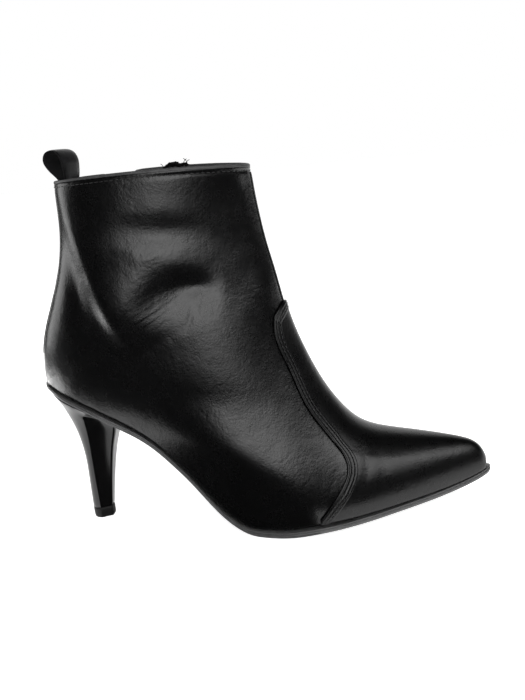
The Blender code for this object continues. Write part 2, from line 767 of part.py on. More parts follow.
def zip_ribbon(name, half, columns, row_count, top_z, low_z, end_fall, depth, thickness, finish):
    """Ribbon under the skin along the zip line, its outer face at a depth.

    Its lower end is cut on a slant that falls forward.
    """
    rows = []
    for i in range(row_count + 1):
        row = []
        for j in range(columns + 1):
            offset = half * (2.0 * j / columns - 1.0)
            z = mix(top_z, low_z - end_fall * offset, i / row_count)
            x = zip_x(z) + offset
            u, across = locate(x, z, MEDIAL)
            row.append(skin(u, across) - skin_normal(u, across) * depth)
        rows.append(row)
    bm = bmesh.new()
    add_grid(bm, rows)
    bmesh.ops.recalc_face_normals(bm, faces=bm.faces)
    bm.faces.ensure_lookup_table()
    if bm.faces[0].normal.y < 0.0:
        bmesh.ops.reverse_faces(bm, faces=bm.faces)
    ribbon = add_object(name, bm, finish, parts)
    thicken(ribbon, thickness, -1.0)
    return ribbon


def slider_frame():
    """Axes across, down the zip and outward, at the skin under the slider, in metres."""
    u, across = locate(zip_x(SLIDER_Z), SLIDER_Z, MEDIAL)
    centre = skin(u, across)
    below_u, below_across = locate(zip_x(SLIDER_Z - SLIDER_LENGTH), SLIDER_Z - SLIDER_LENGTH, MEDIAL)
    down = (skin(below_u, below_across) - centre).normalized()
    outward = skin_normal(u, across)
    outward = (outward - down * outward.dot(down)).normalized()
    side = down.cross(outward).normalized()
    frame = Matrix((side, down, outward)).transposed().to_4x4()
    frame.translation = metres(centre)
    return frame


def box(bm, size, centre):
    """Box of the bmesh's own, by its size and centre in millimetres."""
    place = Matrix.Translation(Vector(centre) * MM) @ Matrix.Diagonal((*(Vector(size) * MM), 1.0))
    return bmesh.ops.create_cube(bm, size=1.0, matrix=place)["verts"]


def join(target, tool, cutters):
    """Union a tool into a piece; the tool is kept as a guide."""
    union = target.modifiers.new(tool.name, "BOOLEAN")
    union.operation = "UNION"
    union.solver = "EXACT"
    union.object = tool
    for collection in tool.users_collection:
        collection.objects.unlink(tool)
    cutters.objects.link(tool)
    tool.hide_render = True
    tool.display_type = "WIRE"


def build_slider(collection, cutters, finish):
    frame = slider_frame()
    bm = bmesh.new()
    middle = SLIDER_LIFT + SLIDER_THICK / 2.0
    verts = box(bm, (SLIDER_WIDTH, SLIDER_LENGTH, SLIDER_THICK), (0.0, 0.0, middle))
    for vert in verts:
        if vert.co.y > 0.0:
            vert.co.x *= SLIDER_TAPER
    slider = add_object("zip_slider", bm, finish, collection)
    slider.matrix_world = frame
    edge = slider.modifiers.new("edge", "BEVEL")
    edge.width = SLIDER_EDGE * MM
    edge.segments = 2

    bpy.ops.mesh.primitive_torus_add(
        major_segments=20, minor_segments=8,
        major_radius=BAIL_RADIUS * MM, minor_radius=BAIL_WIRE * MM)
    bail = bpy.context.active_object
    bail.name = "zip_bail_ring"
    lift = Matrix.Translation((0.0, 0.0, (SLIDER_LIFT + SLIDER_THICK - BAIL_SINK) * MM))
    bail.matrix_world = frame @ lift @ Matrix.Rotation(math.pi / 2.0, 4, "Y")
    floor = bmesh.new()
    floor.from_mesh(bail.data)
    bmesh.ops.bisect_plane(
        floor, geom=floor.verts[:] + floor.edges[:] + floor.faces[:],
        plane_co=(BAIL_WIRE * MM, 0.0, 0.0), plane_no=(1.0, 0.0, 0.0), clear_outer=True)
    bmesh.ops.holes_fill(floor, edges=[edge for edge in floor.edges if edge.is_boundary])
    bmesh.ops.recalc_face_normals(floor, faces=floor.faces)
    floor.to_mesh(bail.data)
    floor.free()
    join(slider, bail, cutters)
    return slider


def build_pull(collection, cutters, finish):
    frame = slider_frame()
    height = SLIDER_LIFT + SLIDER_THICK + PULL_BAR_LIFT
    axis = frame @ Matrix.Translation((0.0, 0.0, height * MM))
    bm = bmesh.new()
    body_length = PULL_LENGTH - PULL_ARM_END
    body = box(bm, (PULL_WIDTH, body_length, PULL_THICK), (0.0, PULL_ARM_END + body_length / 2.0, 0.0))
    for vert in body:
        if vert.co.y < (PULL_ARM_END + PULL_ARM_LAP) * MM:
            vert.co.x *= (2.0 * PULL_ARM_OFFSET + PULL_ARM_WIDTH) / PULL_WIDTH
    pull = add_object("zip_pull", bm, finish, collection)
    pull.matrix_world = axis
    edge = pull.modifiers.new("edge", "BEVEL")
    edge.width = PULL_EDGE * MM
    edge.segments = 2
    reach = PULL_ARM_END + PULL_ARM_LAP
    for side in (-1.0, 1.0):
        arm_mesh = bmesh.new()
        box(arm_mesh, (PULL_ARM_WIDTH, reach, PULL_THICK - PULL_ARM_RELIEF),
            (side * PULL_ARM_OFFSET, reach / 2.0, 0.0))
        arm = add_object("zip_pull_arm", arm_mesh, finish, collection)
        arm.matrix_world = axis
        join(pull, arm, cutters)
    bar_length = 2.0 * PULL_ARM_OFFSET + PULL_ARM_WIDTH + 2.0 * PULL_ARM_RELIEF
    bar_mesh = bmesh.new()
    bmesh.ops.create_cone(
        bar_mesh, cap_ends=True, segments=12, radius1=PULL_BAR_RADIUS * MM,
        radius2=PULL_BAR_RADIUS * MM, depth=bar_length * MM,
        matrix=Matrix.Rotation(math.pi / 2.0, 4, "Y"))
    bar = add_object("zip_pull_bar", bar_mesh, finish, collection)
    bar.matrix_world = axis
    join(pull, bar, cutters)
    return pull


for old in list(bpy.data.objects):
    bpy.data.objects.remove(old)

parts = bpy.data.collections.new(OBJECT_NAME)
guides = bpy.data.collections.new(OBJECT_NAME + "_cutters")
bpy.context.scene.collection.children.link(parts)
bpy.context.scene.collection.children.link(guides)

leather = material("black_leather", (0.012, 0.012, 0.013), 0.38)
toe_leather = material("black_vamp_leather", (0.012, 0.012, 0.013), 0.30)
loop_leather = material("black_loop_leather", (0.02, 0.02, 0.021), 0.5)
sole_rubber = material("black_sole", (0.015, 0.015, 0.015), 0.45)
bed_leather = material("black_foot_bed", (0.03, 0.03, 0.03), 0.6)
heel_plastic = material("black_heel", (0.01, 0.01, 0.01), 0.18)
lift_plastic = material("black_top_lift", (0.02, 0.02, 0.02), 0.55)
tape_cloth = material("black_zip_tape", (0.01, 0.01, 0.01), 0.85)
coil_plastic = material("black_zip_teeth", (0.015, 0.015, 0.015), 0.4)
zip_metal = material("black_zip_metal", (0.03, 0.03, 0.03), 0.3, 0.8)

build_outsole(parts, sole_rubber)
build_insole(parts, bed_leather)
build_heel(parts, heel_plastic)
build_top_lift(parts, lift_plastic)
build_upper(parts, leather)
build_vamp(parts, toe_leather)
build_pull_loop(parts, loop_leather)
zip_ribbon("zip_tape", TAPE_HALF, TAPE_COLUMNS, TAPE_ROWS, TAPE_TOP_Z, TAPE_LOW_Z, TAPE_END_FALL,
           WALL + TAPE_CLEAR, TAPE_THICK, tape_cloth)
zip_ribbon("zip_teeth", TEETH_HALF, TEETH_COLUMNS, TEETH_ROWS, TEETH_TOP_Z, TEETH_LOW_Z, TEETH_END_FALL,
           WALL + TAPE_CLEAR - GAP - TEETH_THICK, TEETH_THICK, coil_plastic)
build_slider(parts, guides, zip_metal)
build_pull(parts, guides, zip_metal)
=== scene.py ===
import math

import bmesh
import bpy
import numpy as np
from mathutils import Matrix, Vector
from mathutils.bvhtree import BVHTree


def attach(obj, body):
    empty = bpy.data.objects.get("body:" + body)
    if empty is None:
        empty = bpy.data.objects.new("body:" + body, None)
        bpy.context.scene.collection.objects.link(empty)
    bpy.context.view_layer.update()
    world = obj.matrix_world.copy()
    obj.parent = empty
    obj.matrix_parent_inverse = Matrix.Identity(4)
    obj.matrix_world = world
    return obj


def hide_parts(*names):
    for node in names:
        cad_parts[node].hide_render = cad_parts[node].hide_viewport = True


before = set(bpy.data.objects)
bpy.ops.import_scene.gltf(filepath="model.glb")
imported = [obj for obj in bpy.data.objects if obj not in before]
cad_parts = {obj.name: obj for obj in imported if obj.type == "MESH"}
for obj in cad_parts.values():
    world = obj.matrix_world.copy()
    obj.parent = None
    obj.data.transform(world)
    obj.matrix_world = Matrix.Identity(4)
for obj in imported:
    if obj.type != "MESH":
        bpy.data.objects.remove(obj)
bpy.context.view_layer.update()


# Foot bed: a thin board covered with black cloth-backed synthetic, moulded to the arch.
# It is cemented over the outsole inside the boot and shows only through the collar.
MM = 0.001
FOOT_BED_COLOUR = (0.010, 0.010, 0.011)
FOOT_BED_WORN = (0.020, 0.019, 0.019)
FOOT_BED_PORE = 1.6
MERGE_GAP = 0.01


def only(*pieces):
    """Select these pieces alone, the first of them active."""
    bpy.ops.object.select_all(action="DESELECT")
    for piece in pieces:
        piece.select_set(True)
    bpy.context.view_layer.objects.active = pieces[0]


def cad_copy(node, name):
    """New piece that starts as a node's shape, merged, with its triangles paired into quads."""
    piece = bpy.data.objects.new(name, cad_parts[node].data.copy())
    bpy.context.scene.collection.objects.link(piece)
    piece.data.materials.clear()
    only(piece)
    bpy.ops.mesh.customdata_custom_splitnormals_clear()
    bpy.ops.object.mode_set(mode="EDIT")
    bpy.ops.mesh.select_all(action="SELECT")
    bpy.ops.mesh.mark_sharp(clear=True)
    bpy.ops.mesh.remove_doubles(threshold=MERGE_GAP * MM)
    bpy.ops.mesh.tris_convert_to_quads(face_threshold=math.pi, shape_threshold=math.pi)
    bpy.ops.object.mode_set(mode="OBJECT")
    return piece


def refine(piece, levels):
    """Round a piece with a subdivision surface and smooth its shading."""
    soft = piece.modifiers.new("soft", "SUBSURF")
    soft.levels = levels
    soft.render_levels = levels
    only(piece)
    bpy.ops.object.modifier_apply(modifier=soft.name)
    bpy.ops.object.shade_smooth()


class Shade:
    """A shader socket that takes part in sums; node() adds any other kind of node."""

    def __init__(self, tree, socket=None):
        self.tree = tree
        self.socket = socket

    def node(self, kind, settings=None, sockets=None, output=0):
        made = self.tree.nodes.new("ShaderNode" + kind)
        for name, value in (settings or {}).items():
            if name == "stops":
                steps = made.color_ramp.elements
                while len(steps) < len(value):
                    steps.new(0.5)
                for step, (place, level) in zip(steps, value):
                    step.position = place
                    step.color = (level, level, level, 1.0)
            else:
                setattr(made, name, value)
        for name, value in (sockets or {}).items():
            if isinstance(value, Shade):
                self.tree.links.new(value.socket, made.inputs[name])
            else:
                made.inputs[name].default_value = value
        return Shade(self.tree, made.outputs[output])

    def math(self, operation, *terms):
        return self.node("Math", {"operation": operation}, dict(enumerate(terms)))

    def __add__(self, other):
        return self.math("ADD", self, other)

    def __radd__(self, other):
        return self.math("ADD", other, self)

    def __sub__(self, other):
        return self.math("SUBTRACT", self, other)

    def __rsub__(self, other):
        return self.math("SUBTRACT", other, self)

    def __mul__(self, other):
        return self.math("MULTIPLY", self, other)

    def __rmul__(self, other):
        return self.math("MULTIPLY", other, self)


def blank_finish(name, **constants):
    """New material, its Shade and its Principled shader, with constant sockets set."""
    made = bpy.data.materials.new(name)
    made.use_nodes = True
    shader = made.node_tree.nodes["Principled BSDF"]
    for socket, value in constants.items():
        shader.inputs[socket.replace("_", " ")].default_value = value
    return made, Shade(made.node_tree), shader


def feed(shade, shader, **links):
    """Link varying values to the shader's sockets."""
    for socket, value in links.items():
        shade.tree.links.new(value.socket, shader.inputs[socket.replace("_", " ")])


def object_place(shade, sizes):
    """Object coordinates counted in steps of the given sizes in mm."""
    place = shade.node("TexCoord", output="Object")
    steps = tuple(1.0 / (size * MM) for size in sizes)
    return shade.node("Mapping", {}, {"Vector": place, "Scale": steps})


def noise(shade, sizes, detail=3.0, rough=0.5):
    """Noise from 0 to 1 with features of the given sizes in mm."""
    place = object_place(shade, sizes)
    return shade.node("TexNoise", {},
                      {"Vector": place, "Scale": 1.0, "Detail": detail, "Roughness": rough})


def ramp(shade, value, low, high, start=0.0, end=1.0):
    """Smooth change from start to end as a value goes from low to high."""
    return shade.node("MapRange", {"interpolation_type": "SMOOTHSTEP"},
                      {"Value": value, "From Min": low, "From Max": high, "To Min": start, "To Max": end})


def cells(shade, size, crack):
    """Rounded cells of a size in mm, 0 in the cracks and 1 on top."""
    place = object_place(shade, (size, size, size))
    edge = shade.node("TexVoronoi", {"feature": "DISTANCE_TO_EDGE"}, {"Vector": place, "Scale": 1.0})
    return ramp(shade, edge, 0.0, crack)


def relief(shade, height):
    """Bump from a height in mm."""
    return shade.node("Bump", {}, {"Height": height, "Strength": 1.0, "Distance": MM})


def tint(shade, factor, dark, light):
    """Colour between two colours."""
    return shade.node("Mix", {"data_type": "RGBA"},
                      {0: factor, 6: (*dark, 1.0), 7: (*light, 1.0)}, output=2)


def dress(piece, finish, body, slot, *nodes):
    """Give a piece its finish, put it on the body it rides on and hide the nodes it stands for; the slot
    is not used.
    """
    piece.data.materials.clear()
    piece.data.materials.append(finish)
    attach(piece, body)
    if nodes:
        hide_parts(*nodes)


foot_bed_finish, shade, shader = blank_finish("foot_bed_cloth", Specular_IOR_Level=0.35)
pores = cells(shade, FOOT_BED_PORE, crack=0.3)
worn = noise(shade, (26.0, 18.0, 30.0))
feed(shade, shader, Base_Color=tint(shade, worn, FOOT_BED_COLOUR, FOOT_BED_WORN),
     Roughness=0.5 + 0.25 * worn, Normal=relief(shade, 0.05 * pores))

foot_bed = cad_copy("insole", "foot_bed")
refine(foot_bed, 1)
dress(foot_bed, foot_bed_finish, "boot", "foot_bed", "insole")


# Quarters and shaft: two panels of thin black synthetic leather joined at the front and back,
# lasted over the foot and turned in at the collar and along the zip; wear has set soft folds.
QUARTER_COLOUR = (0.0010, 0.0010, 0.0011)
QUARTER_SCUFF = (0.0022, 0.0022, 0.0023)
SHARP_TURN = math.radians(50.0)
FINE_FRONT_X = 56.0
FINE_LOW_Z = 24.0
SIDE_FACING = 0.7
WHOLLY_OUTER = 0.99
FAR = 1e9
FOLD_STEP = 4.0
FOLD_SWELL = 1.3
CURVE_CUTS = 12
PRESS_REACH = 4.0
PRESS_BATCH = 2000
SIDE_FADE = 16.0
COLLAR_FADE = 3.5
ZIP_TOP = (-71.2, 198.0)
ZIP_LEAN = 0.257
ZIP_FOOT_Z = 30.0
ZIP_FLAT = 5.0
ZIP_FADE = 7.0
COLLAR_BACK = (-98.6, 198.4)
COLLAR_FRONT = (6.4, 196.6)
COLLAR_BOW = 2.0
# Folds as (height, widths to the left and right of the way, points), in mm in the side view.
# Ridges are above zero and hollows below it.
LATERAL_FOLDS = [
    (4.3, (8.0, 28.0), ((-55.0, 106.0), (-64.0, 121.0), (-73.0, 141.0), (-78.5, 158.0), (-82.5, 174.0),
                        (-85.0, 188.0), (-88.0, 216.0))),
    (2.4, (7.0, 20.0), ((-58.0, 105.0), (-65.5, 119.0), (-70.5, 131.0), (-74.5, 142.0), (-79.0, 155.0))),
    (0.9, (22.0, 26.0), ((-50.0, 120.0), (-49.0, 142.0), (-50.0, 160.0), (-52.0, 178.0))),
    (-1.0, (5.0, 6.0), ((-91.0, 166.0), (-90.0, 150.0), (-89.0, 136.0), (-88.0, 122.0), (-86.0, 104.0))),
    (0.35, (3.0, 3.0), ((-86.9, 115.8), (-65.1, 92.7))),
    (0.6, (22.0, 14.0), ((-58.0, 206.0), (-57.0, 184.0), (-54.0, 164.0))),
    (-0.5, (12.0, 18.0), ((-8.0, 206.0), (-7.0, 186.0), (-6.0, 166.0))),
    (0.3, (6.0, 7.0), ((-63.1, 181.4), (-37.5, 178.6), (-13.4, 176.8), (2.9, 175.4))),
    (-0.75, (7.0, 7.0), ((-80.0, 174.0), (-59.4, 170.5), (-33.9, 168.2), (-10.0, 164.2), (5.2, 158.2))),
    (0.5, (7.0, 5.5), ((-60.0, 148.0), (-50.0, 153.5), (-38.0, 154.5), (-22.0, 151.0), (-2.8, 143.4))),
    (-2.0, (8.0, 13.0), ((-57.0, 125.0), (-46.0, 134.5), (-34.0, 138.5), (-21.0, 137.5), (-8.0, 135.0))),
    (-0.8, (5.0, 5.0), ((-40.0, 139.0), (-26.0, 139.5), (-12.0, 138.0))),
    (0.35, (8.0, 10.0), ((-64.0, 118.0), (-44.0, 119.0), (-26.0, 119.5), (-8.0, 122.0))),
    (-0.25, (1.3, 1.3), ((-26.5, 133.0), (-28.8, 123.6), (-32.8, 113.0))),
    (-0.2, (1.2, 1.2), ((-22.9, 134.0), (-25.0, 126.3), (-26.0, 121.0))),
    (0.22, (1.6, 1.6), ((-64.0, 163.0), (-54.0, 160.5), (-46.0, 161.5))),
    (0.22, (1.5, 1.5), ((-58.0, 157.5), (-48.0, 155.5), (-38.0, 158.5))),
    (0.18, (1.4, 1.4), ((-47.0, 165.0), (-40.0, 162.0), (-32.0, 162.5))),
    (-0.4, (8.0, 8.0), ((-55.0, 84.0), (-44.6, 80.6), (-12.5, 77.6), (23.1, 68.4))),
    (2.8, (14.0, 12.0), ((-58.0, 69.0), (-40.0, 62.0), (-24.0, 56.0), (-9.0, 47.0), (12.0, 35.0),
                         (36.0, 24.0))),
    (0.16, (2.2, 2.2), ((50.5, 48.7), (52.8, 36.1), (47.8, 22.4))),
    (-0.16, (2.0, 2.0), ((55.0, 47.0), (57.0, 35.0), (53.5, 22.0))),
    (0.14, (2.4, 2.4), ((59.4, 46.0), (61.3, 34.9), (59.4, 23.1))),
    (-0.1, (2.0, 2.0), ((64.0, 44.0), (66.0, 34.0), (64.5, 25.0))),
]
MEDIAL_FOLDS = [
    (-1.4, (8.0, 8.0), ((-8.0, 141.0), (-26.0, 146.0), (-40.0, 150.0))),
    (1.0, (8.0, 8.0), ((-10.0, 128.0), (-24.0, 130.0), (-36.0, 133.0))),
    (0.8, (7.0, 7.0), ((-88.0, 172.0), (-82.0, 150.0), (-74.0, 130.0))),
    (-0.9, (8.0, 8.0), ((-92.0, 150.0), (-88.0, 128.0))),
    (0.8, (8.0, 8.0), ((-14.0, 68.0), (16.0, 56.0))),
    (-0.8, (8.0, 8.0), ((-10.0, 90.0), (14.0, 76.0))),
]


def flood(piece, start):
    """Faces reached from the chosen one without crossing a sharp edge."""
    bm = bmesh.new()
    bm.from_mesh(piece.data)
    bm.normal_update()
    starts = [face for face in bm.faces if start(face.normal)]
    first = min(starts, key=lambda face: face.calc_center_median().y)
    found = {first}
    queue = [first]
    while queue:
        face = queue.pop()
        for edge in face.edges:
            if len(edge.link_faces) == 2 and edge.calc_face_angle() < SHARP_TURN:
                for other in edge.link_faces:
                    if other not in found:
                        found.add(other)
                        queue.append(other)
    indices = sorted(face.index for face in found)
    bm.free()
    return indices


def points_of(piece):
    """Points of a piece in mm, and their normals."""
    mesh = piece.data
    places = np.empty(len(mesh.vertices) * 3, np.float32)
    normals = np.empty(len(mesh.vertices) * 3, np.float32)
    mesh.vertices.foreach_get("co", places)
    mesh.vertices.foreach_get("normal", normals)
    return places.reshape(-1, 3).astype(float) / MM, normals.reshape(-1, 3).astype(float)


def put_points(piece, places):
    piece.data.vertices.foreach_set("co", (places * MM).astype(np.float32).ravel())
    piece.data.update()


def outer_weights(piece):
    """1 at the points of a piece's outer face, 0 elsewhere and between on the rim."""
    return np.array([sum(group.weight for group in vertex.groups) for vertex in piece.data.vertices])


def smooth_step(value):
    value = np.clip(value, 0.0, 1.0)
    return value * value * (3.0 - 2.0 * value)


def fair_line(points, step):
    """Evenly spaced points on a smooth curve through the given ones; step in mm."""
    dense = []
    for k in range(len(points) - 1):
        a, b = points[k], points[k + 1]
        before, after = points[max(k - 1, 0)], points[min(k + 2, len(points) - 1)]
        bend = before * 2.0 - a * 5.0 + b * 4.0 - after
        curl = a * 3.0 - before - b * 3.0 + after
        for i in range(CURVE_CUTS):
            t = i / CURVE_CUTS
            dense.append(a + (b - before) * (t / 2.0) + bend * (t * t / 2.0) + curl * (t ** 3 / 2.0))
    dense.append(points[-1])
    made = [dense[0]]
    spare = 0.0
    for a, b in zip(dense, dense[1:]):
        length = (b - a).length
        place = step * MM - spare
        while place <= length:
            made.append(a.lerp(b, place / length))
            place += step * MM
        spare = length - (place - step * MM)
    return made


def fold_shape(x, z, height, widths, points):
    """Height of one soft fold along a smooth side-view line, dying away at both ends."""
    points = [spot / MM for spot in fair_line([Vector(point) * MM for point in points], FOLD_STEP)]
    lengths = [(b - a).length for a, b in zip(points, points[1:])]
    nearest = np.full(x.shape, FAR)
    passed = np.zeros(x.shape)
    width = np.full(x.shape, widths[0])
    start = 0.0
    for (ax, az), (bx, bz), length in zip(points, points[1:], lengths):
        share = np.clip(((x - ax) * (bx - ax) + (z - az) * (bz - az)) / length ** 2, 0.0, 1.0)
        gap = np.hypot(x - ax - share * (bx - ax), z - az - share * (bz - az))
        passed = np.where(gap < nearest, start + share * length, passed)
        left = (bx - ax) * (z - az) - (bz - az) * (x - ax) > 0.0
        width = np.where(gap < nearest, np.where(left, widths[0], widths[1]), width)
        nearest = np.minimum(gap, nearest)
        start += length
    swell = np.sin(math.pi * np.clip(passed / start, 0.0, 1.0)) ** FOLD_SWELL
    return height * swell * np.exp(-(nearest / width) ** 2)


def collar_z(x):
    """Side-view height of the collar as the wall was cut."""
    share = np.clip((x - COLLAR_BACK[0]) / (COLLAR_FRONT[0] - COLLAR_BACK[0]), 0.0, 1.0)
    straight = COLLAR_BACK[1] + share * (COLLAR_FRONT[1] - COLLAR_BACK[1])
    return straight + COLLAR_BOW * np.sin(math.pi * share)


def zip_x(z):
    """Side-view line of the zip."""
    return ZIP_TOP[0] + (ZIP_TOP[1] - z) * ZIP_LEAN


def fold_height(places):
    """Height in mm of the worn folds at every point."""
    x, y, z = places.T
    total = np.zeros(len(x))
    for side, folds in ((-1.0, LATERAL_FOLDS), (1.0, MEDIAL_FOLDS)):
        share = smooth_step(0.5 + side * y / SIDE_FADE)
        for height, widths, points in folds:
            total += share * fold_shape(x, z, height, widths, points)
    total *= smooth_step((collar_z(x) - z) / COLLAR_FADE)
    beside_zip = np.abs(x - zip_x(z)) - ZIP_FLAT
    total *= np.where((y > 0.0) & (z > ZIP_FOOT_Z), smooth_step(beside_zip / ZIP_FADE), 1.0)
    return total


def leather(name, colour, scuff, gloss, grain, creases, shine=0.5):
    """Black synthetic leather: pressed grain, lumps, short wandering creases, an uneven gloss."""
    made, shade, shader = blank_finish(name, Specular_IOR_Level=shine)
    pebble = cells(shade, 1.5, 0.45)
    fine = noise(shade, (1.9, 1.9, 1.9), 4.0, 0.6)
    lumps = noise(shade, (6.0, 6.0, 8.0), 3.0, 0.5)
    broad = noise(shade, (30.0, 30.0, 38.0), 2.0)
    wander = noise(shade, (7.0, 7.0, 9.0), 2.0, 0.6)
    crease = ramp(shade, shade.math("ABSOLUTE", wander - 0.5), 0.0, 0.09)
    patch = ramp(shade, broad, 0.45, 0.62)
    height = grain * fine + 0.25 * grain * pebble + 2.2 * grain * lumps + creases * (crease * patch)
    feed(shade, shader, Base_Color=tint(shade, broad, colour, scuff),
         Roughness=gloss + 0.10 * lumps + 0.03 * (1.0 - pebble), Normal=relief(shade, height))
    return made


def surface(piece):
    """Search tree over a finished piece."""
    return BVHTree.FromObject(piece, bpy.context.evaluated_depsgraph_get())


def beside(line, tree, inset):
    """The line moved over a surface by inset mm, to the left of its way with the normal up."""
    moved = []
    for k, point in enumerate(line):
        along = line[min(k + 1, len(line) - 1)] - line[max(k - 1, 0)]
        normal = tree.find_nearest(point)[1]
        moved.append(tree.find_nearest(point + normal.cross(along).normalized() * inset * MM)[0])
    return moved


def press(piece, line, depth, width):
    """Move a surface in along a line, as thread pulls leather down; mm."""
    places, normals = points_of(piece)
    rows = np.array(line) / MM
    near = np.full(len(places), FAR)
    low, high = rows.min(0) - PRESS_REACH * width, rows.max(0) + PRESS_REACH * width
    reached = np.flatnonzero(np.all((places > low) & (places < high), axis=1))
    for part in np.array_split(reached, max(len(reached) // PRESS_BATCH, 1)):
        gaps = np.linalg.norm(places[part][:, None, :] - rows[None, :, :], axis=2)
        near[part] = gaps.min(1)
    put_points(piece, places - normals * (depth * np.exp(-(near / width) ** 2))[:, None])


quarter_leather = leather("quarter_leather", QUARTER_COLOUR, QUARTER_SCUFF,
                          gloss=0.19, grain=0.075, creases=0.03)
quarters = cad_copy("upper", "quarters")
outer = quarters.vertex_groups.new(name="outer")
for index in flood(quarters, lambda normal: normal.y < -SIDE_FACING):
    outer.add(list(quarters.data.polygons[index].vertices), 1.0, "REPLACE")
refine(quarters, 2)
weights = outer_weights(quarters)
places, normals = points_of(quarters)
fine = (weights > WHOLLY_OUTER) & (places[:, 0] < FINE_FRONT_X) & (places[:, 2] > FINE_LOW_Z)
only(quarters)
bpy.ops.object.mode_set(mode="EDIT")
bpy.ops.mesh.select_all(action="DESELECT")
bpy.ops.object.mode_set(mode="OBJECT")
for face in quarters.data.polygons:
    face.select = all(fine[index] for index in face.vertices)
bpy.ops.object.mode_set(mode="EDIT")
bpy.ops.mesh.subdivide(number_cuts=1, smoothness=0.0)
bpy.ops.mesh.vertices_smooth(factor=0.5, repeat=1)
bpy.ops.object.mode_set(mode="OBJECT")
weights = outer_weights(quarters)
places, normals = points_of(quarters)
outward = normals * np.where(weights > 0.5, 1.0, -1.0)[:, None]
put_points(quarters, places + outward * fold_height(places)[:, None])
dress(quarters, quarter_leather, "boot", "leather", "upper")
quarter_tree = surface(quarters)


# Collar hem: the top edge of the quarters, turned in and cemented, so a little thicker there.
# One row of stitches runs round below the edge and pulls the leather down.
HEM_STITCH_DROP = 2.9
HEM_EDGE_DROP = 1.2
SLIT_CLEAR = 6.6
RIM_MIDDLE = -46.0
RIM_LOW_Z = 185.0
RIM_WINDOW = 5.0
TURN_STEP = 2
ZIP_TURN = 132.0
OUTSIDE = 0.2


def turn_of(x, y):
    """Direction of a point from the middle of the collar, in degrees."""
    return np.degrees(np.arctan2(y, x - RIM_MIDDLE))


places, normals = points_of(quarters)
high = places[places[:, 2] > RIM_LOW_Z]
high_turns = turn_of(high[:, 0], high[:, 1])
rim_turns = []
rim_heights = []
for turn in range(0, 360, TURN_STEP):
    near = np.abs((high_turns - turn + 180.0) % 360.0 - 180.0) < RIM_WINDOW
    if near.any():
        rim_turns.append(turn)
        rim_heights.append(high[near, 2].max())


def rim_z(x, y):
    """Height of the collar's edge above a point."""
    return float(np.interp(turn_of(x, y), rim_turns, rim_heights, period=360.0))


def collar_line(drop):
    """Points round the outside of the collar, drop mm below its edge, from the zip to the zip."""
    made = []
    for k in range(360 // TURN_STEP + 1):
        turn = math.radians(ZIP_TURN + TURN_STEP * k)
        way = Vector((math.cos(turn), math.sin(turn), 0.0))
        middle = Vector((RIM_MIDDLE, 0.0, rim_z(RIM_MIDDLE + way.x, way.y) - drop)) * MM
        spot = quarter_tree.ray_cast(middle + way * OUTSIDE, -way)[0]
        if spot is None or (spot - middle).dot(way) < 0.0:
            continue
        if spot.y < 0.0 or abs(spot.x / MM - zip_x(spot.z / MM)) > SLIT_CLEAR:
            made.append(spot)
    return made


hem_edge = collar_line(HEM_EDGE_DROP)
hem_stitches = collar_line(HEM_STITCH_DROP)
press(quarters, hem_edge, depth=-0.3, width=1.3)
press(quarters, hem_stitches, depth=0.35, width=0.9)
quarter_tree = surface(quarters)


# Seams of the quarters: a narrow folded welt down the front, a stitched strip down the back,
# and rows of black polyester thread round the collar and along both sides of the zip.
THREAD_PITCH = 2.7
THREAD_LENGTH = 2.15
THREAD_WIDE = 0.55
THREAD_RISE = 0.08
THREAD_COLOUR = (0.005, 0.005, 0.0052)
THREAD_LIGHT = (0.018, 0.018, 0.0185)
LATERAL_WAY = Vector((0.0, -1.0, 0.0))
BESIDE_Y = 0.1
RIDGE_RISE = 4.0
RIDGE_CUTS = 16
RIDGE_CUT = 0.5
RIDGE_FLAT = 0.15
STRIP_STEP = 1.0
FRONT_RUN = (122.0, 196.0)
BACK_RUN = (104.0, 194.0)
BACK_ROW_INSETS = (-2.4, 2.4)
ZIP_ROW_RUN = (46.0, 190.0)
ZIP_ROW_RISE = 3.0
ZIP_ROW_OFFSETS = (-7.3, 7.3)
# Sections of the strips as (across, height).
FRONT_WELT = ((-1.7, -0.3), (-1.5, 0.3), (-0.9, 0.55), (-0.3, 0.25),
              (0.3, 0.25), (0.9, 0.55), (1.5, 0.3), (1.7, -0.3))
BACK_STRIP = ((-4.2, -0.5), (-4.1, 0.35), (-3.6, 0.7), (-2.4, 0.55), (0.0, 0.75),
              (2.4, 0.55), (3.6, 0.7), (4.1, 0.35), (4.2, -0.5))


def strew(template, places, name):
    """One piece made of copies of a template, one at each placing."""
    copies = []
    for place in places:
        copy = bpy.data.objects.new(name, template.data.copy())
        copy.matrix_world = place
        bpy.context.scene.collection.objects.link(copy)
        copies.append(copy)
    bpy.data.objects.remove(template)
    only(*copies)
    bpy.ops.object.join()
    bpy.ops.object.transform_apply(location=True, rotation=True, scale=True)
    made = bpy.context.view_layer.objects.active
    made.name = name
    return made


def placing(origin, along, normal):
    """Matrix with its first axis along a line and its third off the surface."""
    along = (along - normal * along.dot(normal)).normalized()
    side = normal.cross(along)
    made = Matrix((along, side, normal)).transposed().to_4x4()
    made.translation = origin
    return made


def bead(size):
    """A small pill of the given full sizes in mm, at the origin."""
    bpy.ops.mesh.primitive_uv_sphere_add(segments=8, ring_count=5, radius=0.5)
    made = bpy.context.object
    made.scale = tuple(length * MM for length in size)
    bpy.ops.object.transform_apply(scale=True)
    bpy.ops.object.shade_smooth()
    return made


def thread_row(line, tree, rise):
    """Placings of stitches along a line, rise mm off a surface."""
    spots = fair_line(line, THREAD_PITCH)
    made = []
    for a, b in zip(spots, spots[1:]):
        spot, normal, _, _ = tree.find_nearest((a + b) / 2.0)
        made.append(placing(spot + normal * rise * MM, b - a, normal))
    return made


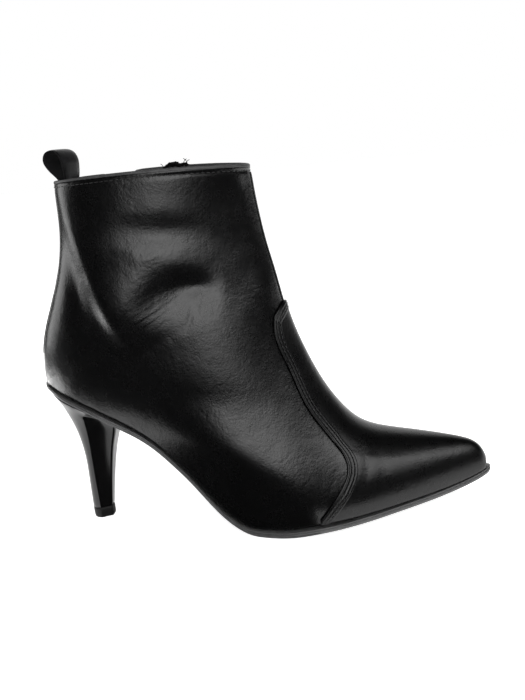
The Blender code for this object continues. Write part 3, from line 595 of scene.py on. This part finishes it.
def closed_strip(name, rows):
    """Strip skinned over rows of points that each go once round it, its ends closed."""
    bm = bmesh.new()
    rings = [[bm.verts.new(spot) for spot in row] for row in rows]
    for lower, upper in zip(rings, rings[1:]):
        for a in range(len(lower)):
            b = (a + 1) % len(lower)
            bm.faces.new((lower[a], lower[b], upper[b], upper[a]))
    bm.faces.new(rings[0])
    bm.faces.new(rings[-1])
    bmesh.ops.recalc_face_normals(bm, faces=bm.faces)
    made = bpy.data.objects.new(name, bpy.data.meshes.new(name))
    bm.to_mesh(made.data)
    bm.free()
    bpy.context.scene.collection.objects.link(made)
    return made


def sweep(line, tree, section, name):
    """Strip with a given section in mm, laid along a line on a surface."""
    rows = []
    for k, point in enumerate(line):
        along = (line[min(k + 1, len(line) - 1)] - line[max(k - 1, 0)]).normalized()
        normal = tree.find_nearest(point)[1]
        across = normal.cross(along).normalized()
        rows.append([point + across * u * MM + normal * h * MM for u, h in section])
    return closed_strip(name, rows)


def ridge_line(way, low_z, high_z):
    """Foremost (way 1) or rearmost (way -1) points of the shaft from low to high; mm."""
    made = []
    for k in range(int((high_z - low_z) / RIDGE_RISE) + 1):
        z = (low_z + RIDGE_RISE * k) * MM
        spots = []
        for y in range(-RIDGE_CUTS, RIDGE_CUTS + 1):
            start = Vector((way * OUTSIDE, y * RIDGE_CUT * MM, z))
            spot = quarter_tree.ray_cast(start, Vector((-way, 0.0, 0.0)))[0]
            if spot is not None:
                spots.append(spot)
        best = max(spots, key=lambda spot: way * spot.x)
        close = [spot for spot in spots if abs(spot.x - best.x) < RIDGE_FLAT * MM]
        made.append(Vector((best.x, sum(spot.y for spot in close) / len(close), z)))
    return made


def side_line(offset, low_z, high_z):
    """Points on the medial side beside the zip, from low to high; mm."""
    made = []
    for k in range(int((high_z - low_z) / ZIP_ROW_RISE) + 1):
        z = low_z + ZIP_ROW_RISE * k
        start = Vector(((zip_x(z) + offset) * MM, BESIDE_Y, z * MM))
        spot = quarter_tree.ray_cast(start, LATERAL_WAY)[0]
        if spot is not None:
            made.append(spot)
    return made


thread_finish, shade, shader = blank_finish("black_thread", Specular_IOR_Level=0.5)
twist = noise(shade, (0.25, 0.25, 0.25), 2.0)
feed(shade, shader, Base_Color=tint(shade, twist, THREAD_COLOUR, THREAD_LIGHT),
     Roughness=0.35 + 0.2 * twist, Normal=relief(shade, 0.04 * twist))

front_line = fair_line(ridge_line(1.0, *FRONT_RUN), STRIP_STEP)
front_welt = sweep(front_line, quarter_tree, FRONT_WELT, "front_welt")
refine(front_welt, 1)
dress(front_welt, quarter_leather, "boot", "leather")
back_line = fair_line(ridge_line(-1.0, *BACK_RUN), STRIP_STEP)
back_strip = sweep(back_line, quarter_tree, BACK_STRIP, "back_strip")
refine(back_strip, 1)
dress(back_strip, quarter_leather, "boot", "leather")
back_tree = surface(back_strip)

stitches = thread_row(hem_stitches, quarter_tree, THREAD_RISE)
for offset in ZIP_ROW_OFFSETS:
    stitches += thread_row(side_line(offset, *ZIP_ROW_RUN), quarter_tree, THREAD_RISE)
for inset in BACK_ROW_INSETS:
    stitches += thread_row(beside(back_line, back_tree, inset), back_tree, THREAD_RISE)
quarter_thread = strew(bead((THREAD_LENGTH, THREAD_WIDE, THREAD_WIDE)), stitches, "quarter_thread")
dress(quarter_thread, thread_finish, "boot", "leather")


# Collar edge: the leather is turned in over a thin tape, and the rounded fold is coloured light grey,
# partly for wear and partly as a painted highlight along the rim.
# On the inner side the lining has frayed, and short thread ends and tufts stand up there.
EDGE_ROUND = ((0.1, -1.5), (0.35, -0.9), (0.35, -0.2), (0.1, 0.35),
              (-0.6, 0.6), (-1.3, 0.4), (-1.6, -0.2), (-1.5, -1.0))
# Both edge colours are far lighter than the leather: wear, and a painted highlight standing in for the
# light along the rim.
EDGE_COLOUR = (0.012, 0.012, 0.0125)
EDGE_WEAR_AND_SHEEN = (0.06, 0.06, 0.061)
EDGE_DROP = 0.5
EDGE_STEP = 1.5
FRAY_COLOUR = (0.002, 0.002, 0.002)
FRAY_LIGHT = (0.008, 0.008, 0.008)
# Thread ends as (x, lean, rise), and the path of one as shares of its reach and rise.
ENDS = ((-46.0, -1.2, 1.6), (-44.0, 0.9, 1.8), (-41.5, -0.5, 2.2), (-39.0, 1.5, 2.0),
        (-36.5, -1.4, 2.4), (-34.5, 0.7, 3.2), (-33.0, 1.6, 2.6), (-31.5, -0.8, 3.6))
END_PATH = ((0.0, -1.0), (0.1, 0.2), (0.35, 0.55), (0.7, 0.8), (1.0, 0.9))
END_THICK = 0.18
END_ROOT_Z = 197.5
END_IN = -1.2
END_REACH = 2.0
END_LIFT = 2.0
# Tufts as (x, rise, size), the slant of each taken in turn.
WAD = ((-45.0, -0.3, 2.4), (-42.7, 0.5, 3.2), (-40.6, 0.9, 3.8), (-38.0, 0.8, 3.6),
       (-36.0, 0.1, 2.8), (-34.0, 0.4, 2.8), (-32.0, -0.3, 2.4))
TUFT_LONG = 1.7
TUFT_WIDE = 0.8
TUFT_IN = -1.0
TUFT_LIFT = 1.6


def far_rim(x):
    """Point on the outside of the medial wall, just below the rim; mm."""
    return quarter_tree.ray_cast(Vector((x * MM, BESIDE_Y, END_ROOT_Z * MM)), LATERAL_WAY)[0]


# Painted highlight and wear: noise mixes the fold between the two light greys.
edge_finish, shade, shader = blank_finish("edge_wear_and_sheen", Specular_IOR_Level=0.4)
rub = noise(shade, (3.0, 3.0, 3.0), 4.0, 0.6)
feed(shade, shader, Base_Color=tint(shade, rub, EDGE_COLOUR, EDGE_WEAR_AND_SHEEN), Roughness=0.35 + 0.25 * rub,
     Normal=relief(shade, 0.06 * rub))
fray_finish, shade, shader = blank_finish("frayed_thread", Specular_IOR_Level=0.05)
twist = noise(shade, (0.4, 0.4, 0.4), 2.0)
feed(shade, shader, Base_Color=tint(shade, twist, FRAY_COLOUR, FRAY_LIGHT),
     Roughness=0.8 + 0.2 * twist, Normal=relief(shade, 0.1 * twist))

rows = []
for spot in fair_line(collar_line(EDGE_DROP), EDGE_STEP):
    outward = quarter_tree.find_nearest(spot)[1]
    outward = Vector((outward.x, outward.y, 0.0)).normalized()
    top = Vector((spot.x, spot.y, rim_z(spot.x / MM, spot.y / MM) * MM))
    rows.append([top + outward * out * MM + Vector((0.0, 0.0, rise * MM)) for out, rise in EDGE_ROUND])
collar_edge = closed_strip("collar_edge", rows)
refine(collar_edge, 1)
dress(collar_edge, edge_finish, "boot", "leather")

ends = []
for x, lean, rise in ENDS:
    root = far_rim(x)
    thread = bpy.data.curves.new("loose_thread", "CURVE")
    thread.dimensions = "3D"
    thread.bevel_depth = END_THICK * MM
    thread.bevel_resolution = 1
    thread.use_fill_caps = True
    strand = thread.splines.new("NURBS")
    strand.points.add(len(END_PATH) - 1)
    for k, (side, height) in enumerate(END_PATH):
        over = side * math.sin(lean) * rise
        inward = END_IN + side * math.cos(lean) * END_REACH
        place = root + Vector((over, inward, END_LIFT + height * rise)) * MM
        strand.points[k].co = (*place, 1.0)
    strand.use_endpoint_u = True
    strand.resolution_u = 4
    end = bpy.data.objects.new("loose_thread", thread)
    bpy.context.scene.collection.objects.link(end)
    ends.append(end)
only(*ends)
bpy.ops.object.convert(target="MESH")
for k, (x, rise, size) in enumerate(WAD):
    tuft = bead((TUFT_LONG * size, TUFT_WIDE * size, TUFT_WIDE * size))
    middle = far_rim(x) + Vector((0.0, TUFT_IN, TUFT_LIFT + rise)) * MM
    slant = Vector((1.0, 0.0, 0.5 - 0.3 * (k % 4)))
    tuft.matrix_world = placing(middle, slant, Vector((0.0, -1.0, 0.3)).normalized())
    ends.append(tuft)
only(*ends)
bpy.ops.object.join()
bpy.ops.object.transform_apply(location=True, rotation=True, scale=True)
loose_threads = bpy.context.view_layer.objects.active
loose_threads.name = "loose_threads"
dress(loose_threads, fray_finish, "boot", "leather")


# Lining: thin black knitted cloth cemented to the back of the leather, inside the wall.
# It stops below the collar, where the leather is turned in and stitched down.
LINING_DROP = 7.0
LINING_GAP = 0.3
LINING_THICK = 0.2
LINING_COLOUR = (0.008, 0.008, 0.009)
LINING_WORN = (0.018, 0.018, 0.019)

lining_finish, shade, shader = blank_finish("lining_cloth", Specular_IOR_Level=0.2)
knit = noise(shade, (0.5, 0.5, 0.9), 2.0)
worn = noise(shade, (22.0, 22.0, 22.0))
feed(shade, shader, Base_Color=tint(shade, worn, LINING_COLOUR, LINING_WORN),
     Roughness=0.75 + 0.15 * worn, Normal=relief(shade, 0.12 * knit))

lining = cad_copy("upper", "lining")
inner = set(flood(lining, lambda normal: normal.y > SIDE_FACING))
bpy.ops.object.mode_set(mode="EDIT")
bpy.ops.mesh.select_mode(type="FACE")
bpy.ops.mesh.select_all(action="DESELECT")
bpy.ops.object.mode_set(mode="OBJECT")
for face in lining.data.polygons:
    face.select = face.index not in inner
bpy.ops.object.mode_set(mode="EDIT")
bpy.ops.mesh.delete(type="FACE")
bpy.ops.object.mode_set(mode="OBJECT")
refine(lining, 1)
places, normals = points_of(lining)
put_points(lining, places - normals * fold_height(places)[:, None] + normals * LINING_GAP)
only(lining)
bpy.ops.object.mode_set(mode="EDIT")
bpy.ops.mesh.select_all(action="SELECT")
slope = (COLLAR_FRONT[1] - COLLAR_BACK[1]) / (COLLAR_FRONT[0] - COLLAR_BACK[0])
bpy.ops.mesh.bisect(plane_co=(COLLAR_BACK[0] * MM, 0.0, (COLLAR_BACK[1] - LINING_DROP) * MM),
                    plane_no=(-slope, 0.0, 1.0), clear_outer=True)
bpy.ops.object.mode_set(mode="OBJECT")
cloth = lining.modifiers.new("cloth", "SOLIDIFY")
cloth.thickness = LINING_THICK * MM
cloth.offset = -1.0
bpy.ops.object.modifier_apply(modifier=cloth.name)
dress(lining, lining_finish, "boot", "leather")


# Zip tape: woven polyester strip sewn behind the slit on the inner side of the boot.
# The coil is woven to its two edges where they meet.
TAPE_COLOUR = (0.006, 0.006, 0.0065)
TAPE_RIB = (0.014, 0.014, 0.015)

tape_finish, shade, shader = blank_finish("zip_tape_weave", Specular_IOR_Level=0.3)
ribs = shade.node("TexWave", {"wave_type": "BANDS", "bands_direction": "Z"},
                  {"Vector": object_place(shade, (4.0, 4.0, 4.0)), "Scale": 1.0, "Distortion": 0.6})
feed(shade, shader, Base_Color=tint(shade, ribs, TAPE_COLOUR, TAPE_RIB),
     Roughness=0.6 + 0.2 * ribs, Normal=relief(shade, 0.12 * ribs))

tape = cad_copy("zip_tape", "tape")
refine(tape, 2)
dress(tape, tape_finish, "boot", "zip_tape", "zip_tape")


# Zip coil: two black nylon spirals that lock together along the middle of the tape.
# Each turn shows as a short rounded rib leaning to its own side.
COIL_PITCH = 1.25
COIL_DROP = COIL_PITCH * 0.97
COIL_TOP_Z = 183.0
COIL_LOW_Z = 41.0
COIL_WAY = Vector((0.249, 0.0, -0.9685))
COIL_START_Y = 0.08
COIL_SIDE = 1.15
COIL_SINK = 0.45
COIL_LEAN = 0.28
COIL_TURN = (2.7, 0.95, 1.25)
COIL_COLOUR = (0.005, 0.005, 0.0055)
COIL_LIGHT = (0.012, 0.012, 0.013)

coil_finish, shade, shader = blank_finish("coil_nylon", Specular_IOR_Level=0.5)
speck = noise(shade, (1.2, 1.2, 1.2))
feed(shade, shader, Base_Color=tint(shade, speck, COIL_COLOUR, COIL_LIGHT),
     Roughness=0.3 + 0.2 * speck, Normal=relief(shade, 0.02 * speck))

teeth_tree = surface(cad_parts["zip_teeth"])
turns = []
for k in range(int((COIL_TOP_Z - COIL_LOW_Z) / COIL_DROP)):
    z = COIL_TOP_Z - COIL_DROP * k
    start = Vector((zip_x(z) * MM, COIL_START_Y, z * MM))
    spot, normal, _, _ = teeth_tree.ray_cast(start, LATERAL_WAY)
    if spot is None:
        continue
    down = (COIL_WAY - normal * COIL_WAY.dot(normal)).normalized()
    across = normal.cross(down)
    for side in (-1.0, 1.0):
        centre = spot + across * side * COIL_SIDE * MM - normal * COIL_SINK * MM
        if side > 0.0:
            centre = centre + down * COIL_PITCH * 0.5 * MM
        lean = (across * side + down * COIL_LEAN).normalized()
        turns.append(placing(centre, lean, normal))
coil = strew(bead(COIL_TURN), turns, "zip_coil")
dress(coil, coil_finish, "boot", "zip_teeth", "zip_teeth")


# Zip slider and tab: die-cast zinc with a black nickel finish, polished by use.
# The slider grips the coil and its bail carries the tab, which swings on it.
NICKEL_COLOUR = (0.05, 0.05, 0.053)
NICKEL_WORN = (0.16, 0.16, 0.165)

metal_finish, shade, shader = blank_finish("black_nickel", Metallic=1.0)
rub = noise(shade, (3.0, 3.0, 3.0), 4.0)
feed(shade, shader, Base_Color=tint(shade, rub, NICKEL_COLOUR, NICKEL_WORN),
     Roughness=0.18 + 0.2 * rub, Normal=relief(shade, 0.015 * rub))
for node in ("zip_slider", "zip_pull"):
    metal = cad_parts[node]
    metal.data.materials.clear()
    metal.data.materials.append(metal_finish)


# Vamp: the toe piece of the same leather, its edge folded and laid over the quarters.
# It is sewn down with two rows of thread and its tongue runs up the instep.
VAMP_COLOUR = (0.0010, 0.0010, 0.0011)
VAMP_SCUFF = (0.0020, 0.0020, 0.0021)
VAMP_FACING = 0.6
VAMP_ROW_INSETS = (1.3, 3.2)
VAMP_THREAD_RISE = 0.22
SEAM_FOOT_X = 33.0
SEAM_FOOT_Z = 7.4
SEAM_FOOT_RISE = 0.115
SEAM_FRONT_X = 53.5
# Folded edge as (inset from the edge, height), with a groove pulled down by each row.
VAMP_EDGE = ((-0.35, -1.2), (-0.35, 0.0), (-0.1, 0.3), (0.3, 0.42), (0.8, 0.3), (1.1, 0.1),
             (1.3, 0.05), (1.5, 0.1), (1.9, 0.26), (2.25, 0.3), (2.6, 0.26), (3.0, 0.1),
             (3.2, 0.05), (3.4, 0.1), (3.8, 0.2), (4.3, 0.15), (4.8, 0.0), (5.1, -0.3))


def skin(piece, weights):
    """Search tree over the outer faces of a piece alone."""
    places = [vertex.co for vertex in piece.data.vertices]
    faces = [tuple(face.vertices) for face in piece.data.polygons
             if all(weights[index] > WHOLLY_OUTER for index in face.vertices)]
    return BVHTree.FromPolygons(places, faces)


def above_sole(point):
    """True where the vamp's rim is its seam, clear of the sole and the toe."""
    foot_z = SEAM_FOOT_Z + SEAM_FOOT_RISE * (point.x / MM - SEAM_FOOT_X)
    return point.z > foot_z * MM and point.x < SEAM_FRONT_X * MM


vamp_leather = leather("vamp_leather", VAMP_COLOUR, VAMP_SCUFF,
                       gloss=0.22, grain=0.06, creases=0.03, shine=0.4)
vamp = cad_copy("vamp", "toe_piece")
vamp_outer = set(flood(vamp, lambda normal: normal.y < -VAMP_FACING))
outer = vamp.vertex_groups.new(name="outer")
edge_uses = {}
for face in vamp.data.polygons:
    if face.index in vamp_outer:
        outer.add(list(face.vertices), 1.0, "REPLACE")
    for key in face.edge_keys:
        edge_uses.setdefault(key, []).append(face.index in vamp_outer)
rim = {}
for (a, b), uses in edge_uses.items():
    if True in uses and False in uses:
        rim.setdefault(a, []).append(b)
        rim.setdefault(b, []).append(a)
walk = [max(rim, key=lambda index: vamp.data.vertices[index].co.x)]
while True:
    ahead = [index for index in rim[walk[-1]] if index not in walk]
    if not ahead:
        break
    walk.append(ahead[0])
vamp_rim = [vamp.data.vertices[index].co.copy() for index in walk]
vamp_seam = [point for point in vamp_rim if above_sole(point)]
refine(vamp, 3)
places, normals = points_of(vamp)
put_points(vamp, places + normals * fold_height(places)[:, None])
vamp_skin = skin(vamp, outer_weights(vamp))
seam_line = [vamp_skin.find_nearest(point)[0] for point in fair_line(vamp_seam, STRIP_STEP)]
crotch = max(range(len(seam_line)), key=lambda k: seam_line[k].x)
way = seam_line[crotch + 1] - seam_line[crotch - 1]
turn = 1.0 if vamp_skin.find_nearest(seam_line[crotch])[1].cross(way).x > 0.0 else -1.0
dress(vamp, vamp_leather, "boot", "toe_leather", "vamp")

rows = []
for k, point in enumerate(seam_line):
    along = seam_line[min(k + 2, len(seam_line) - 1)] - seam_line[max(k - 2, 0)]
    normal = vamp_skin.find_nearest(point)[1]
    across = normal.cross(along).normalized() * turn
    row = []
    for inset, height in VAMP_EDGE:
        spot = point + across * inset * MM
        if inset > 0.0:
            spot, normal, _, _ = vamp_skin.find_nearest(spot)
        row.append(spot + normal * height * MM)
    rows.append(row)
vamp_edge = closed_strip("vamp_edge", rows)
refine(vamp_edge, 1)
dress(vamp_edge, vamp_leather, "boot", "toe_leather")

stitches = []
for inset in VAMP_ROW_INSETS:
    stitches += thread_row(beside(seam_line, vamp_skin, turn * inset), vamp_skin, VAMP_THREAD_RISE)
vamp_thread = strew(bead((THREAD_LENGTH, THREAD_WIDE, THREAD_WIDE)), stitches, "vamp_thread")
dress(vamp_thread, thread_finish, "boot", "toe_leather")


# Pull loop: one strip of the same leather folded over and sewn in at the back of the collar.
# Its raw inner face is the black cloth backing of the leather.
LOOP_COLOUR = (0.004, 0.004, 0.0043)
LOOP_SCUFF = (0.009, 0.009, 0.0095)
LOOP_BACKING = (0.003, 0.003, 0.0032)
LOOP_BACKING_WORN = (0.008, 0.008, 0.0085)
LOOP_FACING = 0.6

loop_leather = leather("loop_leather", LOOP_COLOUR, LOOP_SCUFF, gloss=0.26, grain=0.09, creases=0.04)
loop_backing, shade, shader = blank_finish("loop_backing", Specular_IOR_Level=0.15)
knit = noise(shade, (0.5, 0.5, 0.5), 2.0)
feed(shade, shader, Base_Color=tint(shade, knit, LOOP_BACKING, LOOP_BACKING_WORN),
     Roughness=0.7 + 0.2 * knit, Normal=relief(shade, 0.08 * knit))
pull_loop = cad_copy("pull_loop", "heel_loop")
loop_outer = set(flood(pull_loop, lambda normal: normal.x < -LOOP_FACING))
dress(pull_loop, loop_leather, "boot", "loop_leather", "pull_loop")
pull_loop.data.materials.append(loop_backing)
for face in pull_loop.data.polygons:
    face.material_index = 0 if face.index in loop_outer else 1
refine(pull_loop, 2)


# Outsole: one thin moulded sheet with a lip round its edge, cemented under the upper.
# Its rounded edge lines catch the light, and wear has mottled it grey.
SOLE_COLOUR = (0.028, 0.028, 0.0284)
SOLE_RUBBED = (0.085, 0.085, 0.0855)


def crease(piece, angle, weight):
    """Hold the edges sharper than an angle in degrees when the piece is refined."""
    bm = bmesh.new()
    bm.from_mesh(piece.data)
    layer = bm.edges.layers.float.new("crease_edge")
    for edge in bm.edges:
        if len(edge.link_faces) == 2 and edge.calc_face_angle() > math.radians(angle):
            edge[layer] = weight
    bm.to_mesh(piece.data)
    bm.free()


sole_finish, shade, shader = blank_finish("sole_rubber", Specular_IOR_Level=0.5)
rub = noise(shade, (5.0, 5.0, 5.0), 5.0, 0.6)
fine_rub = noise(shade, (0.6, 0.6, 0.6), 2.0)
feed(shade, shader, Base_Color=tint(shade, rub, SOLE_COLOUR, SOLE_RUBBED),
     Roughness=0.12 + 0.22 * rub, Normal=relief(shade, 0.015 * fine_rub))
outsole = cad_copy("outsole", "sole")
crease(outsole, angle=22.0, weight=0.2)
refine(outsole, 2)
dress(outsole, sole_finish, "boot", "sole", "outsole")


# Heel: a stiletto moulded in black plastic, scooped in front and screwed up into the seat.
# Its side ridges stay crisp and the skin is polished.
HEEL_COLOUR = (0.0012, 0.0012, 0.0013)
HEEL_RUBBED = (0.003, 0.003, 0.0032)

heel_finish, shade, shader = blank_finish("heel_plastic", Specular_IOR_Level=0.5)
rub = noise(shade, (4.0, 4.0, 12.0), 3.0)
feed(shade, shader, Base_Color=tint(shade, rub, HEEL_COLOUR, HEEL_RUBBED),
     Roughness=0.14 + 0.12 * rub, Normal=relief(shade, 0.02 * rub))
heel = cad_copy("heel", "stiletto")
crease(heel, angle=24.0, weight=0.8)
refine(heel, 2)
dress(heel, heel_finish, "boot", "heel", "heel")


# Top lift: the hard plastic tip pinned under the heel.
# The ground has roughened it and scuffed it lighter in patches.
LIFT_COLOUR = (0.0015, 0.0015, 0.0015)
LIFT_SCUFF = (0.009, 0.0088, 0.0086)

lift_finish, shade, shader = blank_finish("lift_plastic", Specular_IOR_Level=0.25)
rub = noise(shade, (1.5, 1.5, 0.7), 5.0, 0.65)
feed(shade, shader, Base_Color=tint(shade, rub, LIFT_COLOUR, LIFT_SCUFF),
     Roughness=0.4 + 0.3 * rub, Normal=relief(shade, 0.14 * rub))
lift = cad_copy("top_lift", "heel_tip")
crease(lift, angle=24.0, weight=0.85)
refine(lift, 2)
dress(lift, lift_finish, "boot", "top_lift", "top_lift")


# Floor: plain white sheets laid edge to edge under the boot; they glow with a painted glow, dimmer near
# the boot and full white far off.
# Those behind the heel and under the toe show in the gloss of the boot, the others do not.
FLOOR_COLOUR = (0.86, 0.86, 0.86, 1.0)
FLOOR_GLOW_NEAR = (0.8, 0.8, 0.8)
FLOOR_GLOW_FAR = (1.02, 1.02, 1.02)
# Sheets as (low corner, high corner, shows in the gloss), in metres.
FLOOR_SHEETS = [
    ((-6.0, -6.0), (6.0, -0.085), False),
    ((-6.0, -0.085), (-0.58, 6.0), False),
    ((-0.58, -0.085), (-0.105, 6.0), True),
    ((-0.105, -0.085), (0.03, 0.01), False),
    ((-0.105, 0.01), (0.03, 6.0), True),
    ((0.03, -0.085), (6.0, -0.055), False),
    ((0.03, -0.055), (6.0, 6.0), True),
]
floor_finish, shade, shader = blank_finish("glowing_white_floor", Roughness=0.9, Specular_IOR_Level=0.1)
shader.inputs["Base Color"].default_value = FLOOR_COLOUR
# Painted glow: the sheets emit light, less near the boot so the lamps' shadows still show, more far off
# so the floor meets the white room; the glow also lights the boot from below.
shader.inputs["Emission Strength"].default_value = 1.0
place = shade.node("TexCoord", output="Object")
spread = shade.node("VectorMath", {"operation": "LENGTH"}, {0: place}, output=1)
far = ramp(shade, spread, 0.12, 0.6)
feed(shade, shader, Emission_Color=tint(shade, far, FLOOR_GLOW_NEAR, FLOOR_GLOW_FAR))
for low, high, mirrored in FLOOR_SHEETS:
    bpy.ops.mesh.primitive_plane_add(size=1.0)
    floor = bpy.context.object
    floor.name = "floor"
    floor.scale = (high[0] - low[0], high[1] - low[1], 1.0)
    floor.location = ((low[0] + high[0]) / 2.0, (low[1] + high[1]) / 2.0, 0.0)
    bpy.ops.object.transform_apply(location=True, scale=True)
    floor.data.materials.append(floor_finish)
    floor.visible_glossy = mirrored


# Light: soft boxes on the camera's side for the shaft, foot and toe, one behind the heel with
# a white card on the floor, and two overhead. The room is dark in front of the boot and white behind.
ROOM_DARK = 0.008
SHAFT_MIDDLE = (0.0, 0.0, 0.15)


def soft_box(name, place, aim, size, power, tilt=0.0):
    """Area light at a place, facing a point, its long axis tilted in degrees."""
    light = bpy.data.lights.new(name, "AREA")
    light.shape = "RECTANGLE"
    light.size, light.size_y = size
    light.energy = power
    made = bpy.data.objects.new(name, light)
    back = (Vector(place) - Vector(aim)).normalized()
    flat = Vector((0.0, 0.0, 1.0)).cross(back).normalized()
    rise = back.cross(flat)
    wide = flat * math.cos(math.radians(tilt)) + rise * math.sin(math.radians(tilt))
    axes = Matrix((wide, back.cross(wide), back)).transposed().to_4x4()
    made.matrix_world = Matrix.Translation(place) @ axes
    bpy.context.scene.collection.objects.link(made)
    return made


soft_box("key_box", (0.339, -0.762, 0.575), SHAFT_MIDDLE, (1.25, 0.6), 5.4, 19.0)
soft_box("foot_box", (0.36, -0.62, 0.6), (0.0, 0.0, 0.05), (0.45, 0.22), 0.55)
soft_box("core_box", (0.03, -0.84, 0.21), SHAFT_MIDDLE, (0.34, 0.36), 0.5)
soft_box("fill_box", (0.09, -0.86, 0.23), SHAFT_MIDDLE, (0.6, 0.46), 0.48)
soft_box("toe_box", (0.756, -0.306, 0.64), SHAFT_MIDDLE, (0.5, 0.35), 1.0)
soft_box("back_box", (-0.82, 0.07, 0.32), SHAFT_MIDDLE, (0.5, 0.6), 2.2)
soft_box("card_box", (-0.335, 0.04, 0.006), (-0.335, 0.05, 0.9), (0.13, 0.24), 0.3)
soft_box("rim_box", (-0.05, -0.15, 1.15), (-0.05, 0.0, 0.2), (0.6, 0.6), 1.3)
top_box = soft_box("top_box", (-0.25, -0.1, 1.6), (0.0, 0.0, 0.0), (1.0, 1.0), 8.0)
top_box.visible_glossy = False

room = bpy.data.worlds.new("room")
room.use_nodes = True
bpy.context.scene.world = room
shade = Shade(room.node_tree)
room_light = room.node_tree.nodes["Background"]
split = shade.node("TexCoord", output="Generated")
rear = shade.node("SeparateXYZ", {}, {"Vector": split}, output=1)
height = shade.node("SeparateXYZ", {}, {"Vector": split}, output=2)
behind = ramp(shade, rear, 0.68, 0.82)
under = ramp(shade, height, 0.6, 0.8, start=1.0, end=0.0)
white = ROOM_DARK + behind * under
seen = shade.node("LightPath", output="Is Camera Ray")
strength = seen + (1.0 - seen) * white
room.node_tree.links.new(strength.socket, room_light.inputs["Strength"])
room_light.inputs["Color"].default_value = (1.0, 1.0, 1.0, 1.0)


# Camera: the photograph's estimated viewpoint, fall and roll, turned sideways and down
# until the whole boot is in the middle of the frame.
CAMERA_PLACE = (0.0643, -0.3909, 0.2057)
PHOTO_YAW = math.radians(4.0)
PHOTO_FALL = math.radians(7.0)
PHOTO_ROLL = math.radians(5.0)
PHOTO_WIDE = 525.0
PHOTO_HIGH = 700.0
FOCAL_PIXELS = 742.0
SENSOR_WIDE = 36.0
BOOT_PIXEL = (225.5, 431.5)
BOOT_MIDDLE = ((BOOT_PIXEL[0] - PHOTO_WIDE / 2.0) / PHOTO_WIDE,
               (PHOTO_HIGH / 2.0 - BOOT_PIXEL[1]) / PHOTO_WIDE)

ahead = Vector((-math.sin(PHOTO_YAW) * math.cos(PHOTO_FALL),
                math.cos(PHOTO_YAW) * math.cos(PHOTO_FALL),
                -math.sin(PHOTO_FALL)))
level = Vector((math.cos(PHOTO_YAW), math.sin(PHOTO_YAW), 0.0))
rise = level.cross(ahead)
right = level * math.cos(PHOTO_ROLL) - rise * math.sin(PHOTO_ROLL)
up = level * math.sin(PHOTO_ROLL) + rise * math.cos(PHOTO_ROLL)
aim = (ahead + right * BOOT_MIDDLE[0] + up * BOOT_MIDDLE[1]).normalized()
turn = ahead.rotation_difference(aim)
camera_data = bpy.data.cameras.new("camera")
camera_data.sensor_fit = "HORIZONTAL"
camera_data.sensor_width = SENSOR_WIDE
camera_data.lens = SENSOR_WIDE * FOCAL_PIXELS / PHOTO_WIDE
camera_data.clip_start = 0.01
camera = bpy.data.objects.new("camera", camera_data)
turned = [turn @ axis for axis in (right, up, -ahead)]
camera.matrix_world = Matrix.Translation(CAMERA_PLACE) @ Matrix(turned).transposed().to_4x4()
bpy.context.scene.collection.objects.link(camera)
bpy.context.scene.camera = camera
bpy.context.scene.view_settings.view_transform = "Standard"
